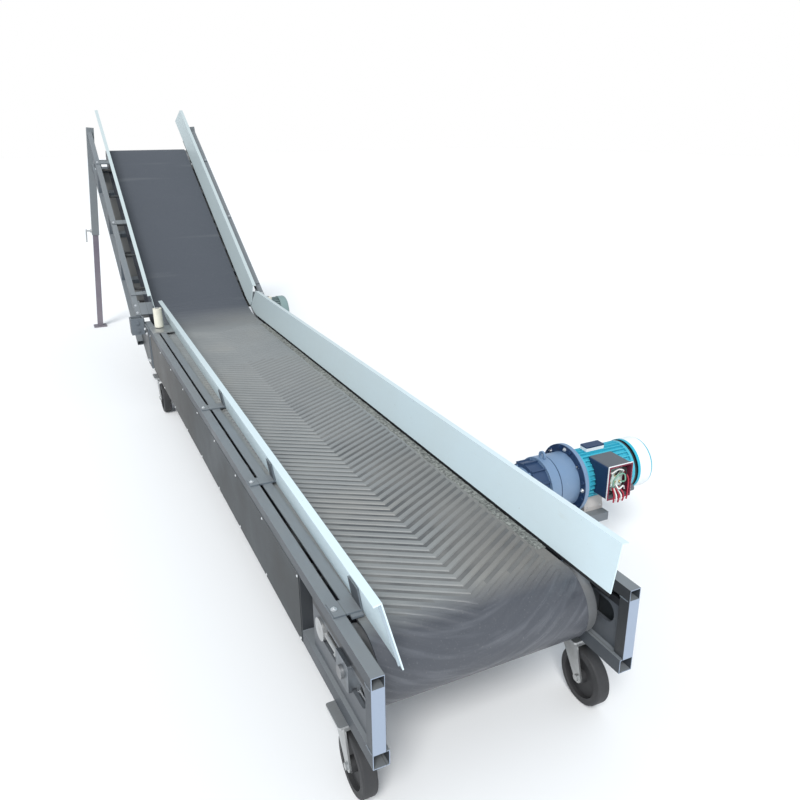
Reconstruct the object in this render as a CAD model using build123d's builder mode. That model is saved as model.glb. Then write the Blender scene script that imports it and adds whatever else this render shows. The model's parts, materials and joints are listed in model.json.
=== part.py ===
import math
import os

from build123d import *

# Mobile belt conveyor in millimetres: a flat feed section and a rising discharge section.
# X runs across the belt, Y runs from the feed end to the discharge end, Z is up.
# Every piece is drawn from the middle of the belt, the feed end and the floor.

# Flat frame, made of square tube
frame_width = 880.0
frame_height = 300.0
floor_gap = 245.0
tube = 40.0
tube_wall = 2.5
low_rail = 50.0
bend_y = 4100.0
window_end = 570.0
post_pitch = 880.0

# Rising frame, wider than the flat frame so that it straddles its end
slope_angle = 29.4
slope_length = 2680.0
slope_gap = 12.0
slope_height = 290.0
slope_post_pitch = 620.0
slope_last_post = 640.0
slope_tie = 250.0
slope_first_cross = 180.0
slope_start = 65.0

# Gusset plates between the two frames
gusset_reach = 220.0
gusset_slope_top = 240.0
gusset_slope_low = 130.0
gusset_inset = 6.0

# Belt and its drums
belt_width = 700.0
belt_offset = -20.0
belt_thick = 8.0
belt_drop = 15.0
belt_bend_radius = 900.0
tail_radius = 117.0
tail_y = 215.0
head_radius = 90.0
head_setback = 375.0
drive_radius = 86.0
drive_y = 912.0
drive_height = 166.0
snub_radius = 30.0
snub_spread = 140.0
snub_height = 112.0
turn_radius = 45.0
return_height = 142.0
drum_face = 740.0
shaft_radius = 20.0
seat_gap = 0.3

# Chevron ribs of the belt
rib_pitch = 56.0
rib_width = 16.0
rib_height = 5.0
rib_rise = 0.62
rib_half_span = 310.0

# Idler rollers under the belt
idler_radius = 28.0
idler_shaft = 9.0
idler_face = 720.0
idler_feed = 550.0
idler_start = 1370.0
idler_pitch = 410.0
slope_idler_start = 430.0
return_start = 1500.0
return_pitch = 900.0
slope_return_start = 500.0
slope_return_pitch = 620.0
lug_thick = 6.0
lug_width = 46.0
lug_margin = 16.0

# Guards: thin folded sheet that leans outwards
guard_thick = 4.0
guard_low_half = 345.0
guard_lift = 6.0
guard_height = 164.0
guard_lean = 27.0
guard_flange = 26.0
guard_flange_drop = 3.0
guard_start = 25.0
guard_nose_low = 4.0
guard_nose_top = 78.0
guard_mitre_gap = 4.0
guard_toe_left = 60.0
guard_toe_right = 0.0
guard_gap_far = 14.0
guard_gap_low = 53.0
guard_end_lean = 36.0
guard_belt_gap = 2.0
slope_guard_top_over = 65.0
slope_guard_low_over = 160.0

# Brackets that hold the guards on the rails
bracket_thick = 6.0
bracket_rise = 80.0
bracket_edge = 4.0

# Brackets on the flat run: place and width; then the same on the rising run, with a wide one first
flat_brackets = ((300.0, 70.0), (1200.0, 60.0), (2110.0, 60.0))
slope_brackets = ((135.0, 130.0), (310.0, 36.0), (1210.0, 50.0), (2110.0, 50.0))

# Guide rollers beside the guards at the bend
guide_radius = 30.0
guide_length = 130.0
guide_half_left = 375.0
guide_half_right = 410.0
guide_y = 3850.0
guide_lift = 6.0
guide_plate_near = 3700.0
guide_plate_far = 3900.0
guide_pin = 9.0
guide_slot = 26.0
guide_slot_wide = 14.0

# Side panels
panel_thick = 2.0
panel_low_gap = 2.0
panel_near_gap = 8.0
panel_far_gap = 4.0

# Take-up at the feed end
slide_length = 450.0
slide_thick = 12.0
slide_height = 182.0
slide_corner = 55.0
slot_height = 74.0
slot_near = 30.0
slot_far = 36.0
block_length = 96.0
block_lip = 10.0
block_thick = 36.0
screw_radius = 9.0
screw_boss_thick = 26.0
lock_nut = 15.0
lock_nut_thick = 14.0
tail_shaft_out = 8.0

# Bearing plates of the drive drum and the snub rollers
drive_plate_thick = 12.0
drive_plate_inset = 4.0
drive_plate_half = 184.0
housing_radius = 50.0
housing_thick = 22.0

# Bearings of the head drum
head_plate_thick = 10.0
head_plate_length = 170.0
head_housing_radius = 46.0
head_housing_thick = 22.0

# Casters
caster_wheel_radius = 100.0
caster_wheel_width = 48.0
caster_trail = 55.0
caster_plate = 110.0
caster_plate_thick = 8.0
caster_race_radius = 40.0
caster_race_thick = 14.0
caster_near_y = 230.0
caster_far_y = 3720.0
fork_wall = 6.0
fork_clear = 4.0
fork_crown = 10.0
fork_boss = 20.0
fork_half_length = 42.0
axle_nut = 12.0
axle_nut_thick = 7.0
axle_radius = 8.0
axle_clear = 0.05
hub_radius = 24.0
hub_gap = 0.3
rim_radius = 74.0
web_thick = 18.0

# Discharge end legs
leg_setback = 40.0
leg_outer = 64.0
leg_inner = 50.0
leg_splay_angle = 5.2
leg_outer_length = 980.0
leg_above_rail = 40.0
leg_overlap = 340.0
leg_cap = 5.0
clamp_nut = 34.0
clamp_nut_thick = 16.0
clamp_up = 36.0
clamp_screw = 7.0
clamp_reach = 34.0
clamp_lever = 120.0
clamp_lever_radius = 6.5
leg_foot = 120.0
leg_foot_thick = 10.0
leg_foot_hole = 7.0
leg_foot_margin = 18.0

# Drive: cycloidal reducer and motor in line with the drive drum
reducer_flange_radius = 150.0
reducer_length = 458.0
drive_shaft_out = 100.0
mount_flange = 26.0
mount_bolt_ring = 92.0
neck_web_reach = 100.0
reducer_neck = 74.0
reducer_neck_far = 198.0
neck_webs = 6
neck_web_thick = 12.0
neck_collar = 14.0
disc_ribs = 12
disc_length = 66.0
disc_core = 106.0
disc_radius = 114.0
ring_length = 45.0
ring_radius = 120.0
ring_groove = 6.0
flange_thick = 22.0
adapter_length = 18.0
disc_rib_thick = 8.0
flange_bolts = 12
flange_bolt_ring = 138.0
bolt_across = 17.0
bolt_head = 7.0
eye_radius = 20.0
eye_thick = 9.0
eye_hole = 10.0
eye_from_flange = 116.0
reducer_foot_from = 250.0
reducer_foot_length = 150.0
reducer_foot_width = 210.0
reducer_foot_thick = 18.0
reducer_web_width = 120.0
motor_radius = 110.0
motor_core = 99.0
motor_length = 275.0
motor_fins = 32
fin_thick = 4.0
shield_length = 22.0
cowl_gap = 8.0
cowl_radius = 113.0
cowl_length = 92.0
cowl_corner = 24.0
cowl_wall = 2.5
cowl_spigot = 8.0
grille_rings = 4
grille_bars = 6
grille_slot = 8.0
grille_step = 18.0
grille_bar_wide = 12.0
lift_lug_length = 96.0
lift_lug_width = 46.0
lift_lug_rise = 22.0
lift_lug_from = 60.0

# Terminal box, open at the front, with its block of studs and its gland
box_from = 48.0
box_length = 124.0
box_height = 152.0
box_lift = 32.0
box_reach = 186.0
box_wall = 6.0
box_corner = 10.0
box_depth = 52.0
block_studs = 3
stud_pitch = 26.0
stud_radius = 3.5
gland_radius = 15.0
gland_length = 34.0
gland_drop = 58.0
gland_nut = 19.0
gland_nut_thick = 10.0
block_depth = 22.0
block_across = 34.0

# Shelf under the reducer and the motor, with turned-down edges
shelf_length = 590.0
shelf_width = 230.0
shelf_thick = 12.0
shelf_lip = 38.0
saddle_length = 100.0
saddle_width = 150.0
saddle_near = 488.0

# Second gearmotor, on the right of the bend
bend_motor_along = 130.0
bend_motor_rise = 15.0
bend_motor_radius = 112.0
bend_motor_core = 102.0
bend_motor_length = 82.0
bend_cowl_radius = 117.0
bend_cowl_length = 66.0
bend_reducer_radius = 78.0
bend_reducer_length = 56.0

# Bolted sockets beside the bend
socket_size = 90.0
socket_wall = 8.0
socket_height = 118.0
socket_low = 465.0
socket_near = 4050.0
socket_bolt = 13.0
socket_bolt_head = 9.0
socket_bolt_pitch = 56.0

# Values that follow from the sizes above
half = frame_width / 2
frame_low = floor_gap
frame_top = floor_gap + frame_height
angle = math.radians(slope_angle)
slope_half = half + slope_gap + tube
slope_inner = slope_half - tube
slope = Plane(
    origin=(0, bend_y, frame_top),
    x_dir=(1, 0, 0),
    z_dir=(0, -math.sin(angle), math.cos(angle)),
)
belt_top = frame_top - belt_drop
belt_under = belt_top - belt_thick
tail_z = belt_under - tail_radius
drive_z = frame_low + drive_height
head_at = slope_length - head_setback
leg_near = bend_y + (slope_length - leg_setback) * math.cos(angle)
leg_y = leg_near + leg_outer / 2


def on_slope(along, normal):
    """Y and Z of a point of the rising section, from its place along and above the slope."""
    y = bend_y + along * math.cos(angle) - normal * math.sin(angle)
    z = frame_top + along * math.sin(angle) + normal * math.cos(angle)
    return y, z


def side_view(x):
    """Plane across the machine at x: local axes are Y and Z."""
    return Plane(origin=(x, 0, 0), x_dir=(0, 1, 0), z_dir=(1, 0, 0))


def slope_side_view(x):
    """The same on the rising section: local axes run along the slope and above it."""
    return Plane(origin=(x, bend_y, frame_top), x_dir=slope.y_dir, z_dir=(1, 0, 0))


def end_view(y):
    """Plane across the belt at y: local axes are X and Z, and it faces the feed end."""
    return Plane(origin=(0, y, 0), x_dir=(1, 0, 0), z_dir=(0, -1, 0))


def slope_end_view(along):
    """The same on the rising section: local axes are X and the height above the slope."""
    y, z = on_slope(along, 0)
    return Plane(origin=(0, y, z), x_dir=(1, 0, 0), z_dir=-slope.y_dir)


def low_x(side, near, far):
    """Lower X of a strip that lies from near to far of the middle on one side."""
    return near if side > 0 else -far


def tube_sketch(width, height, wall):
    """Square tube section in the sketch that is open."""
    Rectangle(width, height)
    Rectangle(width - 2 * wall, height - 2 * wall, mode=Mode.SUBTRACT)


def places_between(start, stop, pitch):
    """Evenly pitched places from start up to stop."""
    count = int((stop - start) // pitch) + 1
    return [start + i * pitch for i in range(max(count, 0))]


pieces = {}


def keep(name, builder):
    """Label a finished piece and hold it for export."""
    builder.part.label = name
    pieces[name] = builder.part


# Side frames of the flat section: rails, end posts and posts between them
post_height = frame_height - tube - low_rail
post_places = [tube / 2, window_end + tube / 2]
while post_places[-1] + post_pitch < bend_y - tube:
    post_places.append(post_places[-1] + post_pitch)
post_places.append(bend_y - tube / 2)

for side_name, side in (("left", -1), ("right", 1)):
    rail_x = side * (half - tube / 2)
    with BuildPart() as side_frame:
        for size, height in ((tube, frame_top - tube / 2), (low_rail, frame_low + low_rail / 2)):
            rail_plane = Plane(
                origin=(side * (half - size / 2), 0, height), x_dir=(1, 0, 0), z_dir=(0, 1, 0)
            )
            with BuildSketch(rail_plane):
                tube_sketch(size, size, tube_wall)
            extrude(amount=bend_y)
        for place in post_places:
            with BuildSketch(Plane(origin=(rail_x, place, frame_low + low_rail))):
                tube_sketch(tube, tube, tube_wall)
            extrude(amount=post_height)
    keep("side_frame_" + side_name, side_frame)

# Cross members of the flat section
cross_half = half - low_rail
with BuildPart() as cross_members:
    for place in post_places[1:]:
        cross_plane = Plane(
            origin=(-cross_half, place, frame_low + low_rail / 2), x_dir=(0, 1, 0), z_dir=(1, 0, 0)
        )
        with BuildSketch(cross_plane):
            tube_sketch(tube, tube, tube_wall)
        extrude(amount=2 * cross_half)
keep("cross_members", cross_members)

# Side panels over the outside of the flat frame; the right one lets the drive shaft through
panel_start = window_end + panel_near_gap
panel_end = bend_y - gusset_reach - panel_far_gap
panel_low = frame_low + panel_low_gap
panel_top = frame_top - tube
for side_name, side in (("left", -1), ("right", 1)):
    with BuildPart() as side_panel:
        with BuildSketch(side_view(low_x(side, half, half + panel_thick))):
            with Locations(((panel_start + panel_end) / 2, (panel_low + panel_top) / 2)):
                Rectangle(panel_end - panel_start, panel_top - panel_low)
            if side > 0:
                with Locations((drive_y, drive_z)):
                    Circle(shaft_radius + slope_gap, mode=Mode.SUBTRACT)
        extrude(amount=panel_thick)
    keep("side_panel_" + side_name, side_panel)

# Rising frame: two rails and posts on each side, in the slope's own plane; the rails end at the legs
slope_posts = [slope_length - slope_last_post]
while slope_posts[-1] - slope_post_pitch > slope_first_cross:
    slope_posts.append(slope_posts[-1] - slope_post_pitch)
leg_face = Plane(origin=(0, leg_near, 0), z_dir=(0, 1, 0))
for side_name, side in (("left", -1), ("right", 1)):
    rail_x = side * (slope_half - tube / 2)
    with BuildPart() as slope_frame:
        for normal in (-tube / 2, -slope_height + tube / 2):
            start_y, start_z = on_slope(slope_start, normal)
            rail_plane = Plane(
                origin=(rail_x, start_y, start_z), x_dir=(1, 0, 0), z_dir=slope.y_dir
            )
            with BuildSketch(rail_plane):
                tube_sketch(tube, tube, tube_wall)
            extrude(amount=slope_length)
        split(bisect_by=leg_face, keep=Keep.BOTTOM)
        for place in slope_posts:
            start_y, start_z = on_slope(place, -slope_height + tube)
            post_plane = Plane(
                origin=(rail_x, start_y, start_z), x_dir=(1, 0, 0), z_dir=slope.z_dir
            )
            with BuildSketch(post_plane):
                tube_sketch(tube, tube, tube_wall)
            extrude(amount=slope_height - 2 * tube)
    keep("slope_frame_" + side_name, slope_frame)

# Cross members of the rising section, in line with its low rails
with BuildPart() as slope_cross_members:
    for place in [slope_length - slope_tie] + slope_posts + [slope_first_cross]:
        start_y, start_z = on_slope(place, -slope_height + tube / 2)
        cross_plane = Plane(
            origin=(-slope_inner, start_y, start_z), x_dir=slope.y_dir, z_dir=(1, 0, 0)
        )
        with BuildSketch(cross_plane):
            tube_sketch(tube, tube, tube_wall)
        extrude(amount=2 * slope_inner)
keep("slope_cross_members", slope_cross_members)

# The belt's closed path round its drums, drawn in the plane of Y and Z
bend_centre = (
    bend_y + (belt_drop - belt_bend_radius) * math.tan(angle / 2),
    belt_top + belt_bend_radius,
)
head_normal = -belt_drop - belt_thick - head_radius
head_centre = on_slope(head_at, head_normal)
turn_z = frame_low + return_height + belt_thick + turn_radius
turn_normal = head_normal - head_radius + turn_radius
turn_along = (turn_z - frame_top - turn_normal * math.cos(angle)) / math.sin(angle)
turn_centre = on_slope(turn_along, turn_normal)
drive_centre = (drive_y, drive_z)
snub_far = (drive_y + snub_spread, frame_low + snub_height)
snub_near = (drive_y - snub_spread, frame_low + snub_height)

# Each row: centre, radius, whether the drum is inside the loop
drums = [
    ((tail_y, tail_z), tail_radius, True),
    (bend_centre, belt_bend_radius, False),
    (head_centre, head_radius, True),
    (turn_centre, turn_radius, True),
    (snub_far, snub_radius, False),
    (drive_centre, drive_radius, True),
    (snub_near, snub_radius, False),
]


def loop_edges(inner_skin):
    """Tangent lines and arcs of one skin of the belt round every drum."""
    skin = []
    for centre, radius, inside in drums:
        if inside:
            skin.append((centre, radius if inner_skin else radius + belt_thick))
        else:
            skin.append((centre, -(radius + belt_thick if inner_skin else radius)))
    count = len(skin)
    headings = []
    for i in range(count):
        (y1, z1), r1 = skin[i]
        (y2, z2), r2 = skin[(i + 1) % count]
        gap = math.hypot(y2 - y1, z2 - z1)
        headings.append(math.atan2(z2 - z1, y2 - y1) + math.asin((r2 - r1) / gap))
    for i in range(count):
        (y1, z1), r1 = skin[i]
        (y2, z2), r2 = skin[(i + 1) % count]
        arrive, leave = headings[i - 1], headings[i]
        if r1 > 0:
            turn = -(math.degrees(arrive - leave) % 360)
            start = math.degrees(arrive) + 90
        else:
            turn = math.degrees(leave - arrive) % 360
            start = math.degrees(arrive) - 90
        CenterArc((y1, z1), abs(r1), start, turn)
        out_y, out_z = math.sin(leave), -math.cos(leave)
        Line((y1 - r1 * out_y, z1 - r1 * out_z), (y2 - r2 * out_y, z2 - r2 * out_z))


# Belt: one closed loop with chevron ribs that open towards the discharge end
rib_first = tail_y + belt_thick
rib_last = bend_centre[0] - rib_rise * rib_half_span - rib_width
with BuildPart() as belt:
    with BuildSketch(side_view(belt_offset - belt_width / 2)):
        with BuildLine():
            loop_edges(inner_skin=False)
        make_face()
        with BuildLine():
            loop_edges(inner_skin=True)
        make_face(mode=Mode.SUBTRACT)
    extrude(amount=belt_width)
    with BuildSketch(Plane.XY.offset(belt_top)):
        for place in places_between(rib_first, rib_last, rib_pitch):
            arm = place + rib_rise * rib_half_span
            with BuildLine(Plane(origin=(belt_offset, 0, belt_top))):
                Polyline(
                    (0, place),
                    (rib_half_span, arm),
                    (rib_half_span, arm + rib_width),
                    (0, place + rib_width),
                    (-rib_half_span, arm + rib_width),
                    (-rib_half_span, arm),
                    close=True,
                )
            make_face()
    extrude(amount=rib_height)
keep("belt", belt)


def bar(centre, radius, start, stop):
    """Round bar across the machine from one X to another."""
    with BuildSketch(side_view(start)) as section:
        with Locations(centre):
            Circle(radius)
    extrude(section.sketch, amount=stop - start)


# Drums on their shafts
face = drum_face / 2
tail_reach = half + tail_shaft_out
drive_left = half - drive_plate_inset
drive_right = half + panel_thick + drive_shaft_out
head_reach = slope_half - bracket_edge
with BuildPart() as tail_drum:
    bar((tail_y, tail_z), tail_radius - seat_gap, -face, face)
    bar((tail_y, tail_z), shaft_radius, -tail_reach, tail_reach)
keep("tail_drum", tail_drum)
with BuildPart() as drive_drum:
    bar(drive_centre, drive_radius - seat_gap, -face, face)
    bar(drive_centre, shaft_radius, -drive_left, drive_right)
keep("drive_drum", drive_drum)
with BuildPart() as head_drum:
    bar(head_centre, head_radius - seat_gap, -face, face)
    bar(head_centre, shaft_radius, -head_reach, head_reach)
keep("head_drum", head_drum)
turn_right = slope_half + bend_reducer_length / 2
with BuildPart() as turn_drum:
    bar(turn_centre, turn_radius - seat_gap, -face, face)
    bar(turn_centre, shaft_radius, -half, turn_right)
keep("turn_drum", turn_drum)

# Snub rollers end at the inner faces of the drive bearing plates
drive_plate_in = half - tube + drive_plate_inset
with BuildPart() as snub_rollers:
    for centre in (snub_near, snub_far):
        bar(centre, snub_radius - seat_gap, -face, face)
        bar(centre, idler_shaft, -drive_plate_in, drive_plate_in)
keep("snub_rollers", snub_rollers)

# Drive bearing plates stand between the rails and carry the drum and the snubs
with BuildPart() as drive_plates:
    for side in (-1, 1):
        plate_x = low_x(side, drive_plate_in, drive_plate_in + drive_plate_thick)
        with BuildSketch(side_view(plate_x)):
            with Locations((drive_y, frame_low + low_rail + post_height / 2)):
                Rectangle(2 * drive_plate_half, post_height)
        extrude(amount=drive_plate_thick)
        housing_x = low_x(side, drive_plate_in - housing_thick, drive_plate_in)
        with BuildSketch(side_view(housing_x)):
            with Locations(drive_centre):
                Circle(housing_radius)
        extrude(amount=housing_thick)
        with BuildSketch(side_view(low_x(side, drive_plate_in - housing_thick, half))):
            with Locations(drive_centre):
                Circle(shaft_radius + seat_gap)
        extrude(amount=housing_thick + tube, mode=Mode.SUBTRACT)
keep("drive_plates", drive_plates)

# Head bearings: a plate between the rising rails with a round housing outside
head_plate_in = slope_inner + bracket_edge
with BuildPart() as head_bearings:
    for side in (-1, 1):
        with BuildSketch(slope_side_view(low_x(side, head_plate_in, head_plate_in + head_plate_thick))):
            with Locations((head_at, -slope_height / 2)):
                Rectangle(head_plate_length, slope_height - 2 * tube)
        extrude(amount=head_plate_thick)
        housing_in = head_plate_in + head_plate_thick
        housing_x = low_x(side, housing_in, housing_in + head_housing_thick)
        with BuildSketch(slope_side_view(housing_x)):
            with Locations((head_at, head_normal)):
                Circle(head_housing_radius)
        extrude(amount=head_housing_thick)
        with BuildSketch(slope_side_view(low_x(side, slope_inner, slope_half))):
            with Locations((head_at, head_normal)):
                Circle(shaft_radius + seat_gap)
        extrude(amount=tube, mode=Mode.SUBTRACT)
keep("head_bearings", head_bearings)

# Gusset plates that tie the rising frame to the end of the flat frame
with BuildPart() as bend_plates:
    for side in (-1, 1):
        with BuildSketch(side_view(low_x(side, half, half + slope_gap))):
            with BuildLine():
                Polyline(
                    (bend_y - gusset_reach, frame_top - gusset_inset),
                    (bend_y, frame_top - gusset_inset),
                    on_slope(gusset_slope_top, -gusset_inset),
                    on_slope(gusset_slope_low, -slope_height + gusset_inset),
                    (bend_y, frame_low + gusset_inset),
                    (bend_y - gusset_reach, frame_low + gusset_inset),
                    close=True,
                )
            make_face()
            if side > 0:
                with Locations(turn_centre):
                    Circle(shaft_radius + seat_gap, mode=Mode.SUBTRACT)
        extrude(amount=slope_gap)
keep("bend_plates", bend_plates)

# Sockets beside the bend: box sections that stand against the bend plates, bolted through
socket_mid = slope_inner + socket_size / 2
with BuildPart() as bend_sockets:
    for side in (-1, 1):
        with BuildSketch(Plane.XY.offset(socket_low)):
            with Locations((side * socket_mid, socket_near + socket_size / 2)):
                tube_sketch(socket_size, socket_size, socket_wall)
        extrude(amount=socket_height)
        with BuildSketch(end_view(socket_near)):
            with Locations((side * socket_mid, socket_low + socket_height / 2)):
                with GridLocations(socket_size, socket_bolt_pitch, 1, 2):
                    RegularPolygon(socket_bolt, 6)
        extrude(amount=socket_bolt_head)
keep("bend_sockets", bend_sockets)

# Carrying idlers under the flat and the rising run; their lugs sit on the rails' inner faces
idler_drop = belt_drop + belt_thick + seat_gap + idler_radius
flat_idlers = [idler_feed] + places_between(idler_start, bend_centre[0] - idler_radius, idler_pitch)
slope_idlers = places_between(slope_idler_start, head_at - idler_pitch / 2, idler_pitch)
lug_low = idler_drop + lug_margin
with BuildPart() as carrying_idlers:
    for place in flat_idlers:
        centre = (place, frame_top - idler_drop)
        lug_in = half - tube - lug_thick
        bar(centre, idler_radius, -idler_face / 2, idler_face / 2)
        bar(centre, idler_shaft, -lug_in, lug_in)
        for side in (-1, 1):
            with BuildSketch(side_view(low_x(side, lug_in, lug_in + lug_thick))):
                with Locations((place, frame_top - (lug_low + gusset_inset) / 2)):
                    Rectangle(lug_width, lug_low - gusset_inset)
            extrude(amount=lug_thick)
    for place in slope_idlers:
        lug_in = slope_inner - lug_thick
        for radius, reach in ((idler_radius, idler_face / 2), (idler_shaft, lug_in)):
            with BuildSketch(slope_side_view(-reach)):
                with Locations((place, -idler_drop)):
                    Circle(radius)
            extrude(amount=2 * reach)
        for side in (-1, 1):
            with BuildSketch(slope_side_view(low_x(side, lug_in, lug_in + lug_thick))):
                with Locations((place, -(lug_low + gusset_inset) / 2)):
                    Rectangle(lug_width, lug_low - gusset_inset)
            extrude(amount=lug_thick)
keep("carrying_idlers", carrying_idlers)

# Return idlers under the lower run
return_z = frame_low + return_height - seat_gap - idler_radius
return_places = places_between(return_start, panel_end, return_pitch)
slope_return_places = places_between(slope_return_start, head_at - slope_return_pitch, slope_return_pitch)
slope_return_normal = head_normal - head_radius - belt_thick - seat_gap - idler_radius
with BuildPart() as return_idlers:
    for place in return_places:
        lug_in = half - tube - lug_thick
        bar((place, return_z), idler_radius, -idler_face / 2, idler_face / 2)
        bar((place, return_z), idler_shaft, -lug_in, lug_in)
        lug_high = return_z + lug_margin - frame_low - low_rail
        for side in (-1, 1):
            with BuildSketch(side_view(low_x(side, lug_in, lug_in + lug_thick))):
                with Locations((place, frame_low + low_rail + lug_high / 2)):
                    Rectangle(lug_width, lug_high)
            extrude(amount=lug_thick)
    for place in slope_return_places:
        lug_in = slope_inner - lug_thick
        for radius, reach in ((idler_radius, idler_face / 2), (idler_shaft, lug_in)):
            with BuildSketch(slope_side_view(-reach)):
                with Locations((place, slope_return_normal)):
                    Circle(radius)
            extrude(amount=2 * reach)
        lug_bottom = -slope_height + gusset_inset
        lug_high = slope_return_normal + lug_margin - lug_bottom
        for side in (-1, 1):
            with BuildSketch(slope_side_view(low_x(side, lug_in, lug_in + lug_thick))):
                with Locations((place, lug_bottom + lug_high / 2)):
                    Rectangle(lug_width, lug_high)
            extrude(amount=lug_thick)
keep("return_idlers", return_idlers)

# Guards: the folded section is drawn from the frame's top and reaches to the mitre at the bend
guard_low = -belt_drop + guard_lift
guard_face_len = math.hypot(guard_lean, guard_height)
face_out = (guard_height / guard_face_len, -guard_lean / guard_face_len)
flange_len = math.hypot(guard_flange, guard_flange_drop)
flange_down = (-guard_flange_drop / flange_len, -guard_flange / flange_len)
fold_share = guard_thick / (1 + face_out[0] * flange_down[0] + face_out[1] * flange_down[1])


def guard_section(side, lift):
    """Folded guard sheet in an end view, whose heights start at lift."""
    fold = (guard_low_half + guard_lean, guard_low + guard_height)
    rim = (fold[0] + guard_flange, fold[1] - guard_flange_drop)
    points = [
        (guard_low_half, guard_low),
        fold,
        rim,
        (rim[0] + guard_thick * flange_down[0], rim[1] + guard_thick * flange_down[1]),
        (
            fold[0] + fold_share * (face_out[0] + flange_down[0]),
            fold[1] + fold_share * (face_out[1] + flange_down[1]),
        ),
        (guard_low_half + guard_thick * face_out[0], guard_low + guard_thick * face_out[1]),
    ]
    Polygon(*[(side * x, lift + height) for x, height in points], align=None)


def guard_outside(height):
    """Distance from the middle to the guard's outer face at a height above the rails."""
    return (
        guard_low_half
        + (height - guard_low) * guard_lean / guard_height
        + guard_thick * guard_face_len / guard_height
    )


end_lean = math.radians(guard_end_lean)
end_dir = Vector(0, math.cos(end_lean), math.sin(end_lean))
gap_point = Vector(0, bend_y + guard_gap_far, frame_top + guard_gap_low)
flat_end = Plane(origin=gap_point, z_dir=end_dir)
slope_low_end = Plane(origin=gap_point + end_dir * guard_mitre_gap, z_dir=end_dir)
slope_near_end = Plane(origin=gap_point, z_dir=(0, 1, 0))
nose_back = guard_nose_top - guard_nose_low
nose = Plane(
    origin=(0, guard_nose_low, frame_top + guard_low),
    z_dir=(0, guard_height, -nose_back),
)
end_y, end_z = on_slope(slope_length + slope_guard_low_over, guard_low)
end_back = slope_guard_low_over - slope_guard_top_over
slope_end_dir = slope.y_dir * guard_height + slope.z_dir * end_back
slope_end = Plane(origin=(0, end_y, end_z), z_dir=slope_end_dir)


def bend_clearance():
    """Cuts what would lie below the belt where it rises through the bend."""
    reach = 2 * guard_height
    flare = math.radians(4)
    corners = [bend_centre]
    for turn in (-flare, angle / 2, angle + flare):
        radius = belt_bend_radius + reach
        corners.append(
            (bend_centre[0] + radius * math.sin(turn), bend_centre[1] - radius * math.cos(turn))
        )
    with BuildSketch(side_view(-slope_half)) as under_belt:
        Polygon(*corners, align=None)
        with Locations(bend_centre):
            Circle(belt_bend_radius - guard_belt_gap, mode=Mode.SUBTRACT)
    extrude(under_belt.sketch, amount=2 * slope_half, mode=Mode.SUBTRACT)


for side_name, side, toe in (("left", -1, guard_toe_left), ("right", 1, guard_toe_right)):
    with BuildPart() as guard:
        start = -guard_flange if side < 0 else guard_start
        turn = math.atan2(toe, bend_y)
        with BuildSketch(
            Plane(
                origin=(0, start, 0),
                x_dir=(math.cos(turn), side * math.sin(turn), 0),
                z_dir=(side * math.sin(turn), -math.cos(turn), 0),
            )
        ):
            guard_section(side, frame_top)
        extrude(amount=-(bend_y + gusset_reach - start))
        split(bisect_by=flat_end, keep=Keep.BOTTOM)
        if side < 0:
            split(bisect_by=nose, keep=Keep.TOP)
        bend_clearance()
    keep("guard_" + side_name, guard)

    with BuildPart() as slope_guard:
        with BuildSketch(slope_end_view(-guard_height)):
            guard_section(side, 0)
        extrude(amount=-(slope_length + slope_guard_low_over + 2 * guard_height))
        split(bisect_by=slope_low_end, keep=Keep.TOP)
        split(bisect_by=slope_near_end, keep=Keep.TOP)
        split(bisect_by=slope_end, keep=Keep.BOTTOM)
        bend_clearance()
    keep("slope_guard_" + side_name, slope_guard)


def toed(side, place):
    """How far a flat guard has come in towards the belt at a place along it."""
    return (guard_toe_left if side < 0 else guard_toe_right) * place / bend_y


def bracket_section(side, lift, reach, inward):
    """Angle bracket that lies on a rail and leans against the guard."""
    foot = guard_outside(0) + seat_gap - inward
    knee = guard_outside(bracket_thick) + seat_gap - inward
    head = guard_outside(bracket_rise) + seat_gap - inward
    points = [
        (foot, 0),
        (reach, 0),
        (reach, bracket_thick),
        (knee + bracket_thick, bracket_thick),
        (head + bracket_thick, bracket_rise),
        (head, bracket_rise),
    ]
    Polygon(*[(side * x, lift + height) for x, height in points], align=None)


# Brackets that hold the guards
with BuildPart() as guard_brackets:
    for side in (-1, 1):
        for place, width in flat_brackets:
            near = place - width / 2
            with BuildSketch(end_view(near)):
                bracket_section(side, frame_top, half - bracket_edge, toed(side, near))
            extrude(amount=-width)
        for place, width in slope_brackets:
            with BuildSketch(slope_end_view(place - width / 2)):
                bracket_section(side, 0, slope_half - bracket_edge, 0)
            extrude(amount=-width)
keep("guard_brackets", guard_brackets)

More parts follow.
